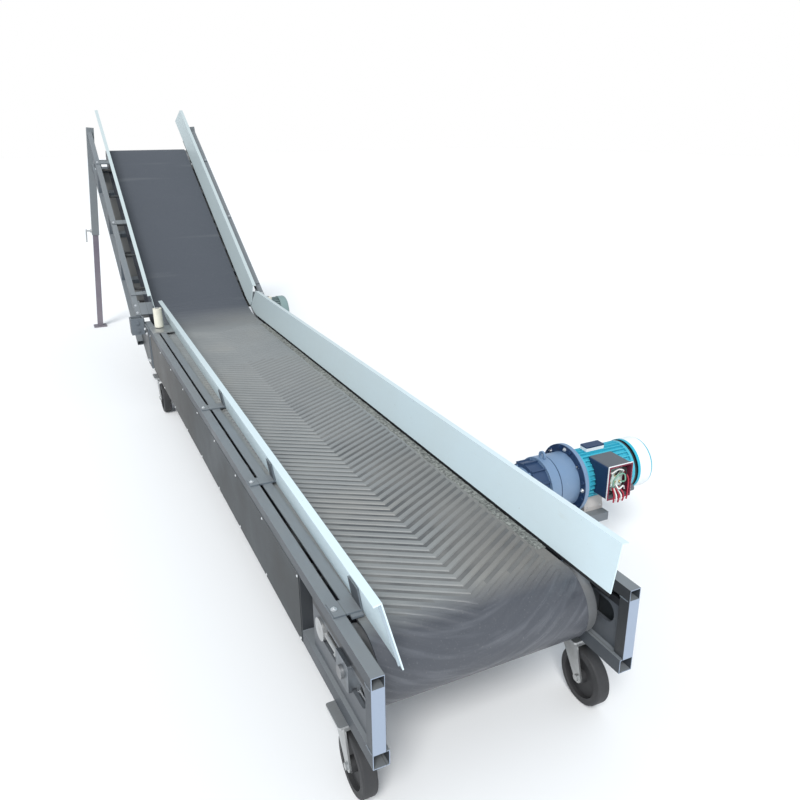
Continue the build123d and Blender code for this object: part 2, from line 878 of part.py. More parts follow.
# Guide rollers at the bend, each on a plate that lies on the top rail
roller_low = frame_top + bracket_thick + guide_lift
with BuildPart() as guide_rollers:
    with BuildSketch(Plane.XY.offset(roller_low)):
        with Locations((-guide_half_left, guide_y), (guide_half_right, guide_y)):
            Circle(guide_radius)
    extrude(amount=guide_length)
keep("guide_rollers", guide_rollers)
plate_out = half - bracket_edge
guide_plate_mid = (guide_plate_near + guide_plate_far) / 2
with BuildPart() as guide_plates:
    for side, guide_half in ((-1, guide_half_left), (1, guide_half_right)):
        plate_in = guard_outside(bracket_thick) + seat_gap - toed(side, guide_plate_near)
        with BuildSketch(Plane.XY.offset(frame_top)):
            with Locations((side * (plate_in + plate_out) / 2, guide_plate_mid)):
                Rectangle(plate_out - plate_in, guide_plate_far - guide_plate_near)
            slot_y = guide_plate_near + guide_slot_wide
            with Locations((side * (half - tube / 2 - guide_slot_wide), slot_y)):
                SlotOverall(guide_slot, guide_slot_wide, mode=Mode.SUBTRACT)
        extrude(amount=bracket_thick)
        with BuildSketch(Plane.XY.offset(frame_top + bracket_thick)):
            with Locations((side * guide_half, guide_y)):
                Circle(guide_pin)
        extrude(amount=guide_lift)
        with BuildSketch(Plane.XY.offset(roller_low + guide_length)):
            with Locations((side * guide_half, guide_y)):
                RegularPolygon(guide_pin + bracket_edge, 6)
        extrude(amount=guide_lift)
keep("guide_plates", guide_plates)

# Take-up: a slotted plate stands on the low rail, against the end post
slide_near = tube
slide_in = half - tube / 2 - slide_thick / 2
slide_out = slide_in + slide_thick
slot_start = slide_near + slot_near
slot_stop = slide_near + slide_length - slot_far
slot_mid = (slot_start + slot_stop) / 2
with BuildPart() as takeup_plates:
    for side in (-1, 1):
        with BuildSketch(side_view(low_x(side, slide_in, slide_out))) as slide_face:
            with Locations((slide_near, frame_low + low_rail)):
                Rectangle(slide_length, slide_height, align=(Align.MIN, Align.MIN))
            far_corner = slide_face.vertices().group_by(Axis.Y)[-1].sort_by(Axis.Z)[-1:]
            fillet(far_corner, slide_corner)
            with Locations((slot_mid, tail_z)):
                SlotOverall(slot_stop - slot_start, slot_height, mode=Mode.SUBTRACT)
        extrude(amount=slide_thick)
keep("takeup_plates", takeup_plates)

# Take-up blocks run in the slots and carry the tail shaft
block_core = slot_height - 2 * seat_gap
block_face = (block_thick - slide_thick) / 2 - seat_gap
with BuildPart() as takeup_blocks:
    for side in (-1, 1):
        for near, far, height in (
            (slide_in - seat_gap - block_face, slide_in - seat_gap, slot_height + 2 * block_lip),
            (slide_in - seat_gap, slide_out + seat_gap, block_core),
            (slide_out + seat_gap, slide_out + seat_gap + block_face, slot_height + 2 * block_lip),
        ):
            with BuildSketch(side_view(low_x(side, near, far))):
                with Locations((tail_y, tail_z)):
                    RectangleRounded(block_length, height, block_lip)
            extrude(amount=far - near)
        with BuildSketch(side_view(low_x(side, half - tube, half))):
            with Locations((tail_y, tail_z)):
                Circle(shaft_radius + seat_gap)
        extrude(amount=tube, mode=Mode.SUBTRACT)
keep("takeup_blocks", takeup_blocks)

# Take-up screws push the blocks from a round boss in the far end of each slot
boss_y = slot_stop - slot_height / 2
screw_start = tail_y + block_length / 2
screw_mid = slide_in + slide_thick / 2
with BuildPart() as takeup_screws:
    for side in (-1, 1):
        boss_x = low_x(side, screw_mid - screw_boss_thick / 2, screw_mid + screw_boss_thick / 2)
        with BuildSketch(side_view(boss_x)):
            with Locations((boss_y, tail_z)):
                Circle(slot_height / 2 - seat_gap)
        extrude(amount=screw_boss_thick)
        with BuildSketch(end_view(screw_start)):
            with Locations((side * screw_mid, tail_z)):
                Circle(screw_radius)
        extrude(amount=-(boss_y - screw_start))
        with BuildSketch(end_view(screw_start + lock_nut_thick)):
            with Locations((side * screw_mid, tail_z)):
                RegularPolygon(lock_nut, 6)
        extrude(amount=-lock_nut_thick)
keep("takeup_screws", takeup_screws)


def turned(start, profile):
    """Round body across the machine: each row of the profile is a length and a radius."""
    place = start
    for length, radius in profile:
        bar(drive_centre, radius, place, place + length)
        place += length


# Reducer: rows of length and radius, outwards from the side panel
reducer_start = half + panel_thick
disc_start = reducer_neck_far + neck_collar
ring_start = disc_start + disc_length
body_start = ring_start + ring_length + ring_groove
flange_start = reducer_length - flange_thick - adapter_length
reducer_rows = [
    (mount_flange, 108),
    (reducer_neck_far - mount_flange, reducer_neck),
    (neck_collar, 90),
    (disc_length, disc_core),
    (ring_length, ring_radius),
    (ring_groove, 110),
    (flange_start - body_start, 118),
    (flange_thick, reducer_flange_radius),
    (adapter_length, 128),
]
foot_z = drive_z - reducer_flange_radius
with BuildPart() as reducer:
    turned(reducer_start, reducer_rows)
    with BuildSketch(side_view(reducer_start + mount_flange)):
        with Locations(drive_centre):
            with PolarLocations(reducer_neck, neck_webs):
                Rectangle(2 * (neck_web_reach - reducer_neck), neck_web_thick)
    extrude(amount=disc_start - mount_flange)
    with BuildSketch(side_view(reducer_start + mount_flange)):
        with Locations(drive_centre):
            with PolarLocations(mount_bolt_ring, neck_webs, start_angle=180 / neck_webs):
                RegularPolygon(bolt_across / 2, 6, major_radius=False)
    extrude(amount=bolt_head)
    with BuildSketch(side_view(reducer_start + disc_start)):
        with Locations(drive_centre):
            with PolarLocations(disc_core, disc_ribs):
                Rectangle(2 * (disc_radius - disc_core), disc_rib_thick)
    extrude(amount=disc_length)
    with BuildSketch(side_view(reducer_start + flange_start - bolt_head)):
        with Locations(drive_centre):
            with PolarLocations(flange_bolt_ring, flange_bolts, start_angle=180 / flange_bolts):
                RegularPolygon(bolt_across / 2, 6, major_radius=False)
    extrude(amount=bolt_head)
    eye_at = (drive_y, drive_z + ring_radius + eye_hole)
    with BuildSketch(side_view(reducer_start + flange_start - eye_from_flange - eye_thick / 2)):
        with Locations(eye_at):
            Circle(eye_radius)
            Circle(eye_hole, mode=Mode.SUBTRACT)
    extrude(amount=eye_thick)
    foot_mid = reducer_start + reducer_foot_from + reducer_foot_length / 2
    with BuildSketch(Plane.XY.offset(foot_z)):
        with Locations((foot_mid, drive_y)):
            RectangleRounded(reducer_foot_length, reducer_foot_width, bolt_across / 2)
    extrude(amount=reducer_foot_thick)
    with BuildSketch(Plane.XY.offset(foot_z)):
        with Locations((foot_mid, drive_y)):
            Rectangle(reducer_foot_length - 2 * bolt_across, reducer_web_width)
    extrude(amount=reducer_neck)
    with BuildSketch(side_view(reducer_start)):
        with Locations(drive_centre):
            Circle(shaft_radius + seat_gap)
    extrude(amount=drive_shaft_out + seat_gap, mode=Mode.SUBTRACT)
keep("reducer", reducer)

# Motor: two end shields, a finned barrel, a saddle under it and the spigot that takes the cowl
motor_start = reducer_start + reducer_length
barrel_length = motor_length - 2 * shield_length
cowl_bore = cowl_radius - cowl_wall
motor_rows = [
    (shield_length, motor_radius),
    (barrel_length, motor_core),
    (shield_length, motor_radius),
    (cowl_gap, motor_core),
    (cowl_spigot, cowl_bore - seat_gap),
]
saddle_start = reducer_start + saddle_near
saddle_top = saddle_width / 2 - shield_length
with BuildPart() as motor:
    turned(motor_start, motor_rows)
    with BuildSketch(side_view(motor_start + shield_length)):
        with Locations(drive_centre):
            with PolarLocations(motor_core, motor_fins):
                Rectangle(2 * (motor_radius - motor_core), fin_thick)
    extrude(amount=barrel_length)
    with BuildSketch(side_view(saddle_start)):
        with BuildLine():
            Polyline(
                (drive_y - saddle_width / 2, foot_z),
                (drive_y + saddle_width / 2, foot_z),
                (drive_y + saddle_width / 2, foot_z + reducer_foot_thick),
                (drive_y + saddle_top, drive_z - motor_core / 2),
                (drive_y - saddle_top, drive_z - motor_core / 2),
                (drive_y - saddle_width / 2, foot_z + reducer_foot_thick),
                close=True,
            )
        make_face()
    extrude(amount=saddle_length)
    lug_mid = motor_start + lift_lug_from + lift_lug_length / 2
    with BuildSketch(Plane.XY.offset(drive_z + motor_core / 2)):
        with Locations((lug_mid, drive_y)):
            RectangleRounded(lift_lug_length, lift_lug_width, fin_thick)
    extrude(amount=motor_radius - motor_core / 2 + lift_lug_rise)
keep("motor", motor)

# Fan cowl: a thin shell over the spigot, with a grille of rings and spokes in its end
cowl_start = motor_start + motor_length + cowl_gap
with BuildPart() as motor_cowl:
    turned(cowl_start, [(cowl_length, cowl_radius)])
    rim = motor_cowl.faces().sort_by(Axis.X)[-1].edges()
    fillet(rim, cowl_corner)
    offset(amount=-cowl_wall, openings=motor_cowl.faces().sort_by(Axis.X)[0])
    with BuildSketch(side_view(cowl_start + cowl_length - 2 * cowl_wall)):
        with Locations(drive_centre):
            for ring in range(grille_rings, 0, -1):
                Circle(ring * grille_step + grille_slot)
                Circle(ring * grille_step, mode=Mode.SUBTRACT)
            with PolarLocations(0, grille_bars):
                Rectangle(
                    cowl_radius, grille_bar_wide, align=(Align.MIN, Align.CENTER), mode=Mode.SUBTRACT
                )
    extrude(amount=4 * cowl_wall, mode=Mode.SUBTRACT)
keep("motor_cowl", motor_cowl)

# Terminal box on the motor's near side, open towards the feed end, with its gland
box_near = drive_y - box_reach
box_mid = motor_start + box_from + box_length / 2
box_z = drive_z + box_lift
with BuildPart() as terminal_box:
    box_front = Plane(origin=(box_mid, box_near, box_z), x_dir=(1, 0, 0), z_dir=(0, -1, 0))
    with BuildSketch(box_front):
        RectangleRounded(box_length, box_height, box_corner)
    extrude(amount=-(box_reach - motor_radius / 2))
    with BuildSketch(box_front):
        RectangleRounded(
            box_length - 2 * box_wall, box_height - 2 * box_wall, box_corner - box_wall / 2
        )
    extrude(amount=-box_depth, mode=Mode.SUBTRACT)
    gland_at = (box_near + box_depth / 2, box_z - gland_drop)
    gland_x = box_mid + box_length / 2
    for radius, length in ((gland_radius, gland_length), (gland_nut, gland_nut_thick)):
        with BuildSketch(side_view(gland_x)):
            with Locations(gland_at):
                if radius == gland_nut:
                    RegularPolygon(radius, 6)
                else:
                    Circle(radius)
        extrude(amount=length)
    with BuildSketch(side_view(motor_start)):
        with Locations(drive_centre):
            Circle(motor_radius + seat_gap)
    extrude(amount=motor_length, mode=Mode.SUBTRACT)
keep("terminal_box", terminal_box)

# Terminal block at the back of the box: two rows of studs
with BuildPart() as terminal_block:
    block_back = Plane(
        origin=(box_mid, box_near + box_depth, box_z), x_dir=(1, 0, 0), z_dir=(0, -1, 0)
    )
    block_front = Plane(
        origin=(box_mid, box_near + box_depth - block_depth, box_z), x_dir=(1, 0, 0), z_dir=(0, -1, 0)
    )
    with BuildSketch(block_back):
        Rectangle(block_studs * stud_pitch, 2 * block_across)
    extrude(amount=block_depth)
    with BuildSketch(block_front):
        with GridLocations(stud_pitch, block_across, block_studs, 2):
            Circle(stud_radius)
    extrude(amount=block_depth / 2)
keep("terminal_block", terminal_block)

# Shelf that carries the reducer and the motor: a plate with turned-down edges
shelf_top = foot_z - seat_gap
with BuildPart() as motor_shelf:
    with BuildSketch(side_view(reducer_start)):
        with Locations((drive_y, shelf_top)):
            Rectangle(shelf_width, shelf_lip, align=(Align.CENTER, Align.MAX))
        with Locations((drive_y, shelf_top - shelf_thick)):
            Rectangle(
                shelf_width - 2 * shelf_thick,
                shelf_lip,
                align=(Align.CENTER, Align.MAX),
                mode=Mode.SUBTRACT,
            )
    extrude(amount=shelf_length)
keep("motor_shelf", motor_shelf)

# Casters: plate and race on the frame, swivelling fork with its axle, and wheel
plate_low = frame_low - caster_plate_thick
race_low = plate_low - caster_race_thick
crown_top = race_low - seat_gap
crown_low = crown_top - fork_crown
caster_half = half - low_rail / 2
caster_spots = [
    ("near_left", -caster_half, caster_near_y),
    ("near_right", caster_half, caster_near_y),
    ("far_left", -caster_half, caster_far_y),
    ("far_right", caster_half, caster_far_y),
]
with BuildPart() as caster_plates:
    with BuildSketch(Plane.XY.offset(plate_low)):
        with Locations(*[(x, y) for name, x, y in caster_spots]):
            RectangleRounded(caster_plate, caster_plate, 8)
    extrude(amount=caster_plate_thick)
    with BuildSketch(Plane.XY.offset(race_low)):
        with Locations(*[(x, y) for name, x, y in caster_spots]):
            Circle(caster_race_radius)
    extrude(amount=caster_race_thick)
keep("caster_plates", caster_plates)

cheek_in = caster_wheel_width / 2 + fork_clear
cheek_out = cheek_in + fork_wall
for spot, caster_x, caster_y in caster_spots:
    axle_y = caster_y - caster_trail
    with BuildPart() as caster_fork:
        with BuildSketch(Plane.XY.offset(crown_low)):
            with Locations((caster_x, caster_y)):
                Rectangle(2 * cheek_out, 2 * fork_half_length)
        extrude(amount=fork_crown)
        for side in (-1, 1):
            cheek_x = caster_x + low_x(side, cheek_in, cheek_out)
            with BuildSketch(side_view(cheek_x)):
                with BuildLine():
                    Polyline(
                        (caster_y - fork_half_length, crown_low),
                        (caster_y + fork_half_length, crown_low),
                        (axle_y + fork_boss, caster_wheel_radius),
                        (axle_y - fork_boss, caster_wheel_radius),
                        close=True,
                    )
                make_face()
                with Locations((axle_y, caster_wheel_radius)):
                    Circle(fork_boss)
            extrude(amount=fork_wall)
        bar((axle_y, caster_wheel_radius), axle_radius, caster_x - cheek_out, caster_x + cheek_out)
        for side in (-1, 1):
            nut_x = caster_x + low_x(side, cheek_out, cheek_out + axle_nut_thick)
            with BuildSketch(side_view(nut_x)):
                with Locations((axle_y, caster_wheel_radius)):
                    RegularPolygon(axle_nut, 6)
            extrude(amount=axle_nut_thick)
    keep("caster_fork_" + spot, caster_fork)

    hub_half = cheek_in - hub_gap
    with BuildPart() as caster_wheel:
        centre = (axle_y, caster_wheel_radius)
        tread_half = caster_wheel_width / 2
        bar(centre, caster_wheel_radius, caster_x - tread_half, caster_x + tread_half)
        for side in (-1, 1):
            recess_x = caster_x + low_x(side, web_thick / 2, caster_wheel_width / 2)
            with BuildSketch(side_view(recess_x)):
                with Locations(centre):
                    Circle(rim_radius)
            extrude(amount=(caster_wheel_width - web_thick) / 2, mode=Mode.SUBTRACT)
        bar(centre, hub_radius, caster_x - hub_half, caster_x + hub_half)
        with BuildSketch(side_view(caster_x - cheek_out)):
            with Locations(centre):
                Circle(axle_radius + axle_clear)
        extrude(amount=2 * cheek_out, mode=Mode.SUBTRACT)
        fillet(
            caster_wheel.edges().filter_by(GeomType.CIRCLE).filter_by(
                lambda edge: abs(edge.radius - caster_wheel_radius) < 1
            ),
            8,
        )
    keep("caster_wheel_" + spot, caster_wheel)

# Legs at the discharge end: the outer tube is fixed, the inner tube slides in it
splay = math.radians(leg_splay_angle)
leg_top_half = slope_half - leg_outer / 2 / math.cos(splay)
leg_fit = leg_inner + 2 * seat_gap
rail_points = []
for normal in (-tube / 2, -slope_height + tube / 2):
    along = (leg_y - bend_y + normal * math.sin(angle)) / math.cos(angle)
    rail_points.append(on_slope(along, normal)[1])
leg_top = rail_points[0] + leg_above_rail
for side_name, side in (("left", -1), ("right", 1)):
    leg_dir = Vector(side * math.sin(splay), 0, -math.cos(splay))
    leg_origin = Vector(side * leg_top_half, leg_y, leg_top)
    outer_plane = Plane(origin=leg_origin, x_dir=(0, 1, 0), z_dir=leg_dir)
    with BuildPart() as leg:
        with BuildSketch(outer_plane):
            Rectangle(leg_outer, leg_outer)
        extrude(amount=leg_outer_length)
        bore_origin = leg_origin + leg_dir * leg_cap
        with BuildSketch(Plane(origin=bore_origin, x_dir=(0, 1, 0), z_dir=leg_dir)):
            Rectangle(leg_fit, leg_fit)
        extrude(amount=leg_outer_length, mode=Mode.SUBTRACT)
    keep("leg_outer_" + side_name, leg)

    inner_start = leg_outer_length - leg_overlap
    foot_along = leg_top / math.cos(splay)
    foot_x = side * (leg_top_half + leg_top * math.tan(splay))
    with BuildPart() as leg_slide:
        slide_origin = leg_origin + leg_dir * inner_start
        with BuildSketch(Plane(origin=slide_origin, x_dir=(0, 1, 0), z_dir=leg_dir)):
            Rectangle(leg_inner, leg_inner)
        extrude(amount=foot_along - inner_start + leg_inner)
        split(bisect_by=Plane.XY.offset(leg_foot_thick), keep=Keep.TOP)
        with BuildSketch(Plane.XY):
            with Locations((foot_x, leg_y)):
                RectangleRounded(leg_foot, leg_foot, 8)
                hole_pitch = leg_foot - 2 * leg_foot_margin
                with GridLocations(hole_pitch, hole_pitch, 2, 2):
                    Circle(leg_foot_hole, mode=Mode.SUBTRACT)
        extrude(amount=leg_foot_thick)
    keep("leg_inner_" + side_name, leg_slide)

    # Clamp: a nut on the tube's outer face, and a screw with a hanging lever
    leg_out = Vector(side * math.cos(splay), 0, math.sin(splay))
    clamp_origin = (
        leg_origin + leg_dir * (leg_outer_length - clamp_up) + leg_out * (leg_outer / 2)
    )
    lever_reach = clamp_nut_thick + clamp_reach
    with BuildPart() as leg_clamp:
        with BuildSketch(Plane(origin=clamp_origin, x_dir=(0, 1, 0), z_dir=leg_out)):
            RegularPolygon(clamp_nut / 2, 6)
        extrude(amount=clamp_nut_thick)
        with BuildSketch(Plane(origin=clamp_origin, x_dir=(0, 1, 0), z_dir=leg_out)):
            Circle(clamp_screw)
        extrude(amount=lever_reach)
        lever_origin = clamp_origin + leg_out * lever_reach - leg_dir * (2 * clamp_lever_radius)
        with BuildSketch(Plane(origin=lever_origin, x_dir=(0, 1, 0), z_dir=leg_dir)):
            Circle(clamp_lever_radius)
        extrude(amount=clamp_lever)
    keep("leg_clamp_" + side_name, leg_clamp)

# Second gearmotor: a parallel-shaft reducer hangs on the right end of the turn drum's shaft
bend_start = slope_half
bend_motor_centre = (turn_centre[0] + bend_motor_along, turn_centre[1] + bend_motor_rise)
with BuildPart() as bend_reducer:
    with BuildSketch(side_view(bend_start)):
        with Locations(turn_centre):
            Circle(bend_reducer_radius)
        with Locations(bend_motor_centre):
            Circle(bend_motor_core)
        make_hull()
    extrude(amount=bend_reducer_length)
    with BuildSketch(side_view(bend_start)):
        with Locations(turn_centre):
            Circle(shaft_radius + seat_gap)
    extrude(amount=bend_reducer_length / 2 + seat_gap, mode=Mode.SUBTRACT)
keep("bend_reducer", bend_reducer)
bend_motor_start = bend_start + bend_reducer_length
with BuildPart() as bend_motor:
    motor_end = bend_motor_start + bend_motor_length
    bar(bend_motor_centre, bend_motor_core, bend_motor_start, motor_end)
    with BuildSketch(side_view(bend_motor_start)):
        with Locations(bend_motor_centre):
            with PolarLocations(bend_motor_core, motor_fins):
                Rectangle(2 * (bend_motor_radius - bend_motor_core), fin_thick)
    extrude(amount=bend_motor_length)
keep("bend_motor", bend_motor)
bend_cowl_start = bend_motor_start + bend_motor_length
with BuildPart() as bend_cowl:
    bar(bend_motor_centre, bend_cowl_radius, bend_cowl_start, bend_cowl_start + bend_cowl_length)
    rim = bend_cowl.faces().sort_by(Axis.X)[-1].edges()
    fillet(rim, cowl_corner)
keep("bend_cowl", bend_cowl)

# The origin lies in the middle of the whole machine, on the floor
boxes = [piece.bounding_box() for piece in pieces.values()]
shift = Vector(
    -(min(box.min.X for box in boxes) + max(box.max.X for box in boxes)) / 2,
    -(min(box.min.Y for box in boxes) + max(box.max.Y for box in boxes)) / 2,
    -min(box.min.Z for box in boxes),
)
print("shift", shift)
print("tail", tail_y, tail_z, "drive", drive_centre, "turn", turn_centre, "head", head_centre)
print("posts", post_places, slope_posts)

os.makedirs("parts", exist_ok=True)
for name, piece in pieces.items():
    placed = piece.moved(Location(shift))
    placed.label = name
    export_step(placed, "parts/" + name + ".step")
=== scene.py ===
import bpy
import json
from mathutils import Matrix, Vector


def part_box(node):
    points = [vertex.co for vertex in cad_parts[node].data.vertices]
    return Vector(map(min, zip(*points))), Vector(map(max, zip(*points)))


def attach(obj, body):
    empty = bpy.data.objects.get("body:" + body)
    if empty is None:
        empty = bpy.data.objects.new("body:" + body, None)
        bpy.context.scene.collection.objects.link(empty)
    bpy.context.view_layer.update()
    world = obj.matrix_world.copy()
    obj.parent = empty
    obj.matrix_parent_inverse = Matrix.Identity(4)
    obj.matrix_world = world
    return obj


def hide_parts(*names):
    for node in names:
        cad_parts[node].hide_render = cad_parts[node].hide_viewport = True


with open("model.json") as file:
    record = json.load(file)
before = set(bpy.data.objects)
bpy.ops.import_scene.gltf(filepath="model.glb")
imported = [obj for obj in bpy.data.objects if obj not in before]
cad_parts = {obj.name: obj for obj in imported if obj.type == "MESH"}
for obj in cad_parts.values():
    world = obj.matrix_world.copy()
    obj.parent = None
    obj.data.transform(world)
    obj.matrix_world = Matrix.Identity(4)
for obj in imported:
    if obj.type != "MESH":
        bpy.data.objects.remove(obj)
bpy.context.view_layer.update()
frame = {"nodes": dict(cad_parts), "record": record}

import bisect
import json
import math
import random

import bmesh
import bpy
from mathutils import Matrix, Vector
from mathutils import noise as field

random.seed(7)

# Places are given as in the part's source, in millimetres from the frame's middle, the feed end and
# the floor, and at() turns them into metres in the row frame
ROOT = "conveyor"
# Half the frame's width and the inside of its rails; the same for the rising frame, outside it
FRAME_HALF = 440.0
RAIL_IN = 400.0
SLOPE_OUT = 492.0
SLOPE_IN = 452.0
# Top and underside of the frame, the rising run's angle and where it begins
TOP = 545.0
LOW = 245.0
SLOPE = math.radians(29.4)
BEND_Y = 4100.0
SIDES = (-1, 1)
low_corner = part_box("side_frame_left")[0]
SHIFT = Vector((low_corner[0] + FRAME_HALF / 1000, low_corner[1], 0))
X_DIR, Y_DIR, Z_DIR = Vector((1, 0, 0)), Vector((0, 1, 0)), Vector((0, 0, 1))
SLOPE_ALONG = Vector((0, math.cos(SLOPE), math.sin(SLOPE)))
SLOPE_UP = Vector((0, -math.sin(SLOPE), math.cos(SLOPE)))


def at(x, y, z):
    return Vector((x / 1000, y / 1000, z / 1000)) + SHIFT


def on_slope(x, along, normal):
    """Place on the rising run: across, along the slope, and off the top of its rails."""
    y = BEND_Y + along * math.cos(SLOPE) - normal * math.sin(SLOPE)
    z = TOP + along * math.sin(SLOPE) + normal * math.cos(SLOPE)
    return at(x, y, z)


# The belt's path round its drums, as in the part's source; a drum's centre is its Y and Z
BELT_TOP = 530.0
BELT_THICK = 8.0
BELT_MID = -20.0
BELT_HALF = 350.0
TAIL = (215.0, 405.0)
DRIVE = (912.0, 411.0)
TURN = (4235.51, 440.0)
HEAD = (6163.62, 1578.086)
SNUB_APART = 140.0
SNUB_Z = LOW + 112.0
SNUB_RADIUS = 30.0
BEND_RADIUS = 900.0
BEND_CENTRE = (BEND_Y + (TOP - BELT_TOP - BEND_RADIUS) * math.tan(SLOPE / 2), BELT_TOP + BEND_RADIUS)
ARC_STEP = 12.0
# Centre, radius and whether the belt runs round the outside of it
DRUMS = [
    (TAIL, 117.0, True),
    (BEND_CENTRE, BEND_RADIUS, False),
    (HEAD, 90.0, True),
    (TURN, 45.0, True),
    ((DRIVE[0] + SNUB_APART, SNUB_Z), SNUB_RADIUS, False),
    (DRIVE, 86.0, True),
    ((DRIVE[0] - SNUB_APART, SNUB_Z), SNUB_RADIUS, False),
]


def belt_path():
    """Points of the belt's outer skin from the tail drum's low side, with its outward direction."""
    skin = []
    for centre, radius, inside in DRUMS:
        skin.append((centre, radius + BELT_THICK if inside else -radius))
    count = len(skin)
    headings = []
    for i in range(count):
        (y1, z1), r1 = skin[i]
        (y2, z2), r2 = skin[(i + 1) % count]
        gap = math.hypot(y2 - y1, z2 - z1)
        headings.append(math.atan2(z2 - z1, y2 - y1) + math.asin((r2 - r1) / gap))
    points = []
    for i in range(count):
        (y1, z1), r1 = skin[i]
        arrive, leave = headings[i - 1], headings[i]
        if r1 > 0:
            sweep = -((arrive - leave) % (2 * math.pi))
        else:
            sweep = (leave - arrive) % (2 * math.pi)
        steps = max(int(abs(sweep * r1) / ARC_STEP), 3)
        for k in range(steps + 1):
            heading = arrive + sweep * k / steps
            out_y, out_z = -math.sin(heading), math.cos(heading)
            points.append((y1 + r1 * out_y, z1 + r1 * out_z, out_y, out_z))
    return points


PATH = belt_path()
LENGTHS = [0.0]
for first, second in zip(PATH, PATH[1:] + PATH[:1]):
    LENGTHS.append(LENGTHS[-1] + math.hypot(second[0] - first[0], second[1] - first[1]))
LOOP = LENGTHS[-1]

# Lengths along the belt, in millimetres and metres, where it leaves the tail drum and where it bends
WRAP_MM = next(LENGTHS[i] for i in range(1, len(PATH)) if PATH[i][1] > BELT_TOP - 0.01)
BEND_MM = WRAP_MM + BEND_CENTRE[0] - TAIL[0]
WRAP_END = WRAP_MM / 1000
BELT_BEND = BEND_MM / 1000
BELT_MAP = "along_belt"


def on_belt(length):
    """Place and outward direction on the belt at a length from its start, in millimetres."""
    length %= LOOP
    i = bisect.bisect_right(LENGTHS, length) - 1
    i = min(i, len(PATH) - 1)
    first, second = PATH[i], PATH[(i + 1) % len(PATH)]
    share = (length - LENGTHS[i]) / max(LENGTHS[i + 1] - LENGTHS[i], 1e-9)
    return [a + (b - a) * share for a, b in zip(first, second)]


# Node helpers
def new_material(name):
    material = bpy.data.materials.new(name)
    material.use_nodes = True
    tree = material.node_tree
    shader = tree.nodes["Principled BSDF"]
    return material, tree, shader


def coords(tree, scale=(1, 1, 1)):
    source = tree.nodes.new("ShaderNodeTexCoord")
    mapping = tree.nodes.new("ShaderNodeMapping")
    mapping.inputs["Scale"].default_value = scale
    tree.links.new(source.outputs["Object"], mapping.inputs["Vector"])
    return mapping.outputs["Vector"]


def split(tree, vector):
    """The X, Y and Z outputs of a vector."""
    made = tree.nodes.new("ShaderNodeSeparateXYZ")
    tree.links.new(vector, made.inputs[0])
    return made.outputs


def combine(tree, x, y):
    made = tree.nodes.new("ShaderNodeCombineXYZ")
    tree.links.new(x, made.inputs["X"])
    tree.links.new(y, made.inputs["Y"])
    return made.outputs[0]


def noise(tree, vector, scale, detail=4.0, rough=0.55):
    made = tree.nodes.new("ShaderNodeTexNoise")
    made.inputs["Scale"].default_value = scale
    made.inputs["Detail"].default_value = detail
    made.inputs["Roughness"].default_value = rough
    tree.links.new(vector, made.inputs["Vector"])
    return made.outputs["Fac"]


def ramp(tree, factor, low, high, first=0.0, last=1.0):
    made = tree.nodes.new("ShaderNodeMapRange")
    made.inputs["From Min"].default_value = low
    made.inputs["From Max"].default_value = high
    made.inputs["To Min"].default_value = first
    made.inputs["To Max"].default_value = last
    tree.links.new(factor, made.inputs["Value"])
    return made.outputs["Result"]


def mix(tree, factor, first, second):
    made = tree.nodes.new("ShaderNodeMix")
    made.data_type = "RGBA"
    tree.links.new(factor, made.inputs["Factor"])
    for socket, value in ((made.inputs[6], first), (made.inputs[7], second)):
        if isinstance(value, tuple):
            socket.default_value = (*value, 1)
        else:
            tree.links.new(value, socket)
    return made.outputs[2]


def maths(tree, operation, first, second=0.5):
    made = tree.nodes.new("ShaderNodeMath")
    made.operation = operation
    for socket, value in ((made.inputs[0], first), (made.inputs[1], second)):
        if isinstance(value, (int, float)):
            socket.default_value = value
        else:
            tree.links.new(value, socket)
    return made.outputs[0]


def times(tree, first, second):
    return maths(tree, "MULTIPLY", first, second)


def bump(tree, shader, height, strength, distance):
    made = tree.nodes.new("ShaderNodeBump")
    made.inputs["Strength"].default_value = strength
    made.inputs["Distance"].default_value = distance
    tree.links.new(height, made.inputs["Height"])
    tree.links.new(made.outputs["Normal"], shader.inputs["Normal"])


# Kinds of surface
def paint(name, colour, dust, rough=0.42, dust_amount=0.35, chips=(0.16, 0.13, 0.12), chip_amount=0.5):
    """Sprayed enamel with a film of dust, scuffs along the steel and small chips."""
    material, tree, shader = new_material(name)
    plain = coords(tree)
    along = coords(tree, (1.0, 0.25, 1.0))
    cloud = noise(tree, plain, 2.2, 6.0, 0.6)
    fine = noise(tree, along, 38.0, 5.0, 0.7)
    film = times(tree, ramp(tree, cloud, 0.38, 0.68), dust_amount)
    shade = mix(tree, film, colour, dust)
    scuff = ramp(tree, fine, 0.60, 0.72, 0.0, 0.25)
    shade = mix(tree, scuff, shade, dust)
    speck = ramp(tree, noise(tree, plain, 95.0, 3.0, 0.6), 0.735, 0.75, 0.0, chip_amount)
    shade = mix(tree, speck, shade, chips)
    tree.links.new(shade, shader.inputs["Base Color"])
    tree.links.new(ramp(tree, cloud, 0.3, 0.7, rough - 0.06, rough + 0.16), shader.inputs["Roughness"])
    bump(tree, shader, noise(tree, plain, 260.0, 2.0, 0.5), 0.08, 0.002)
    return material


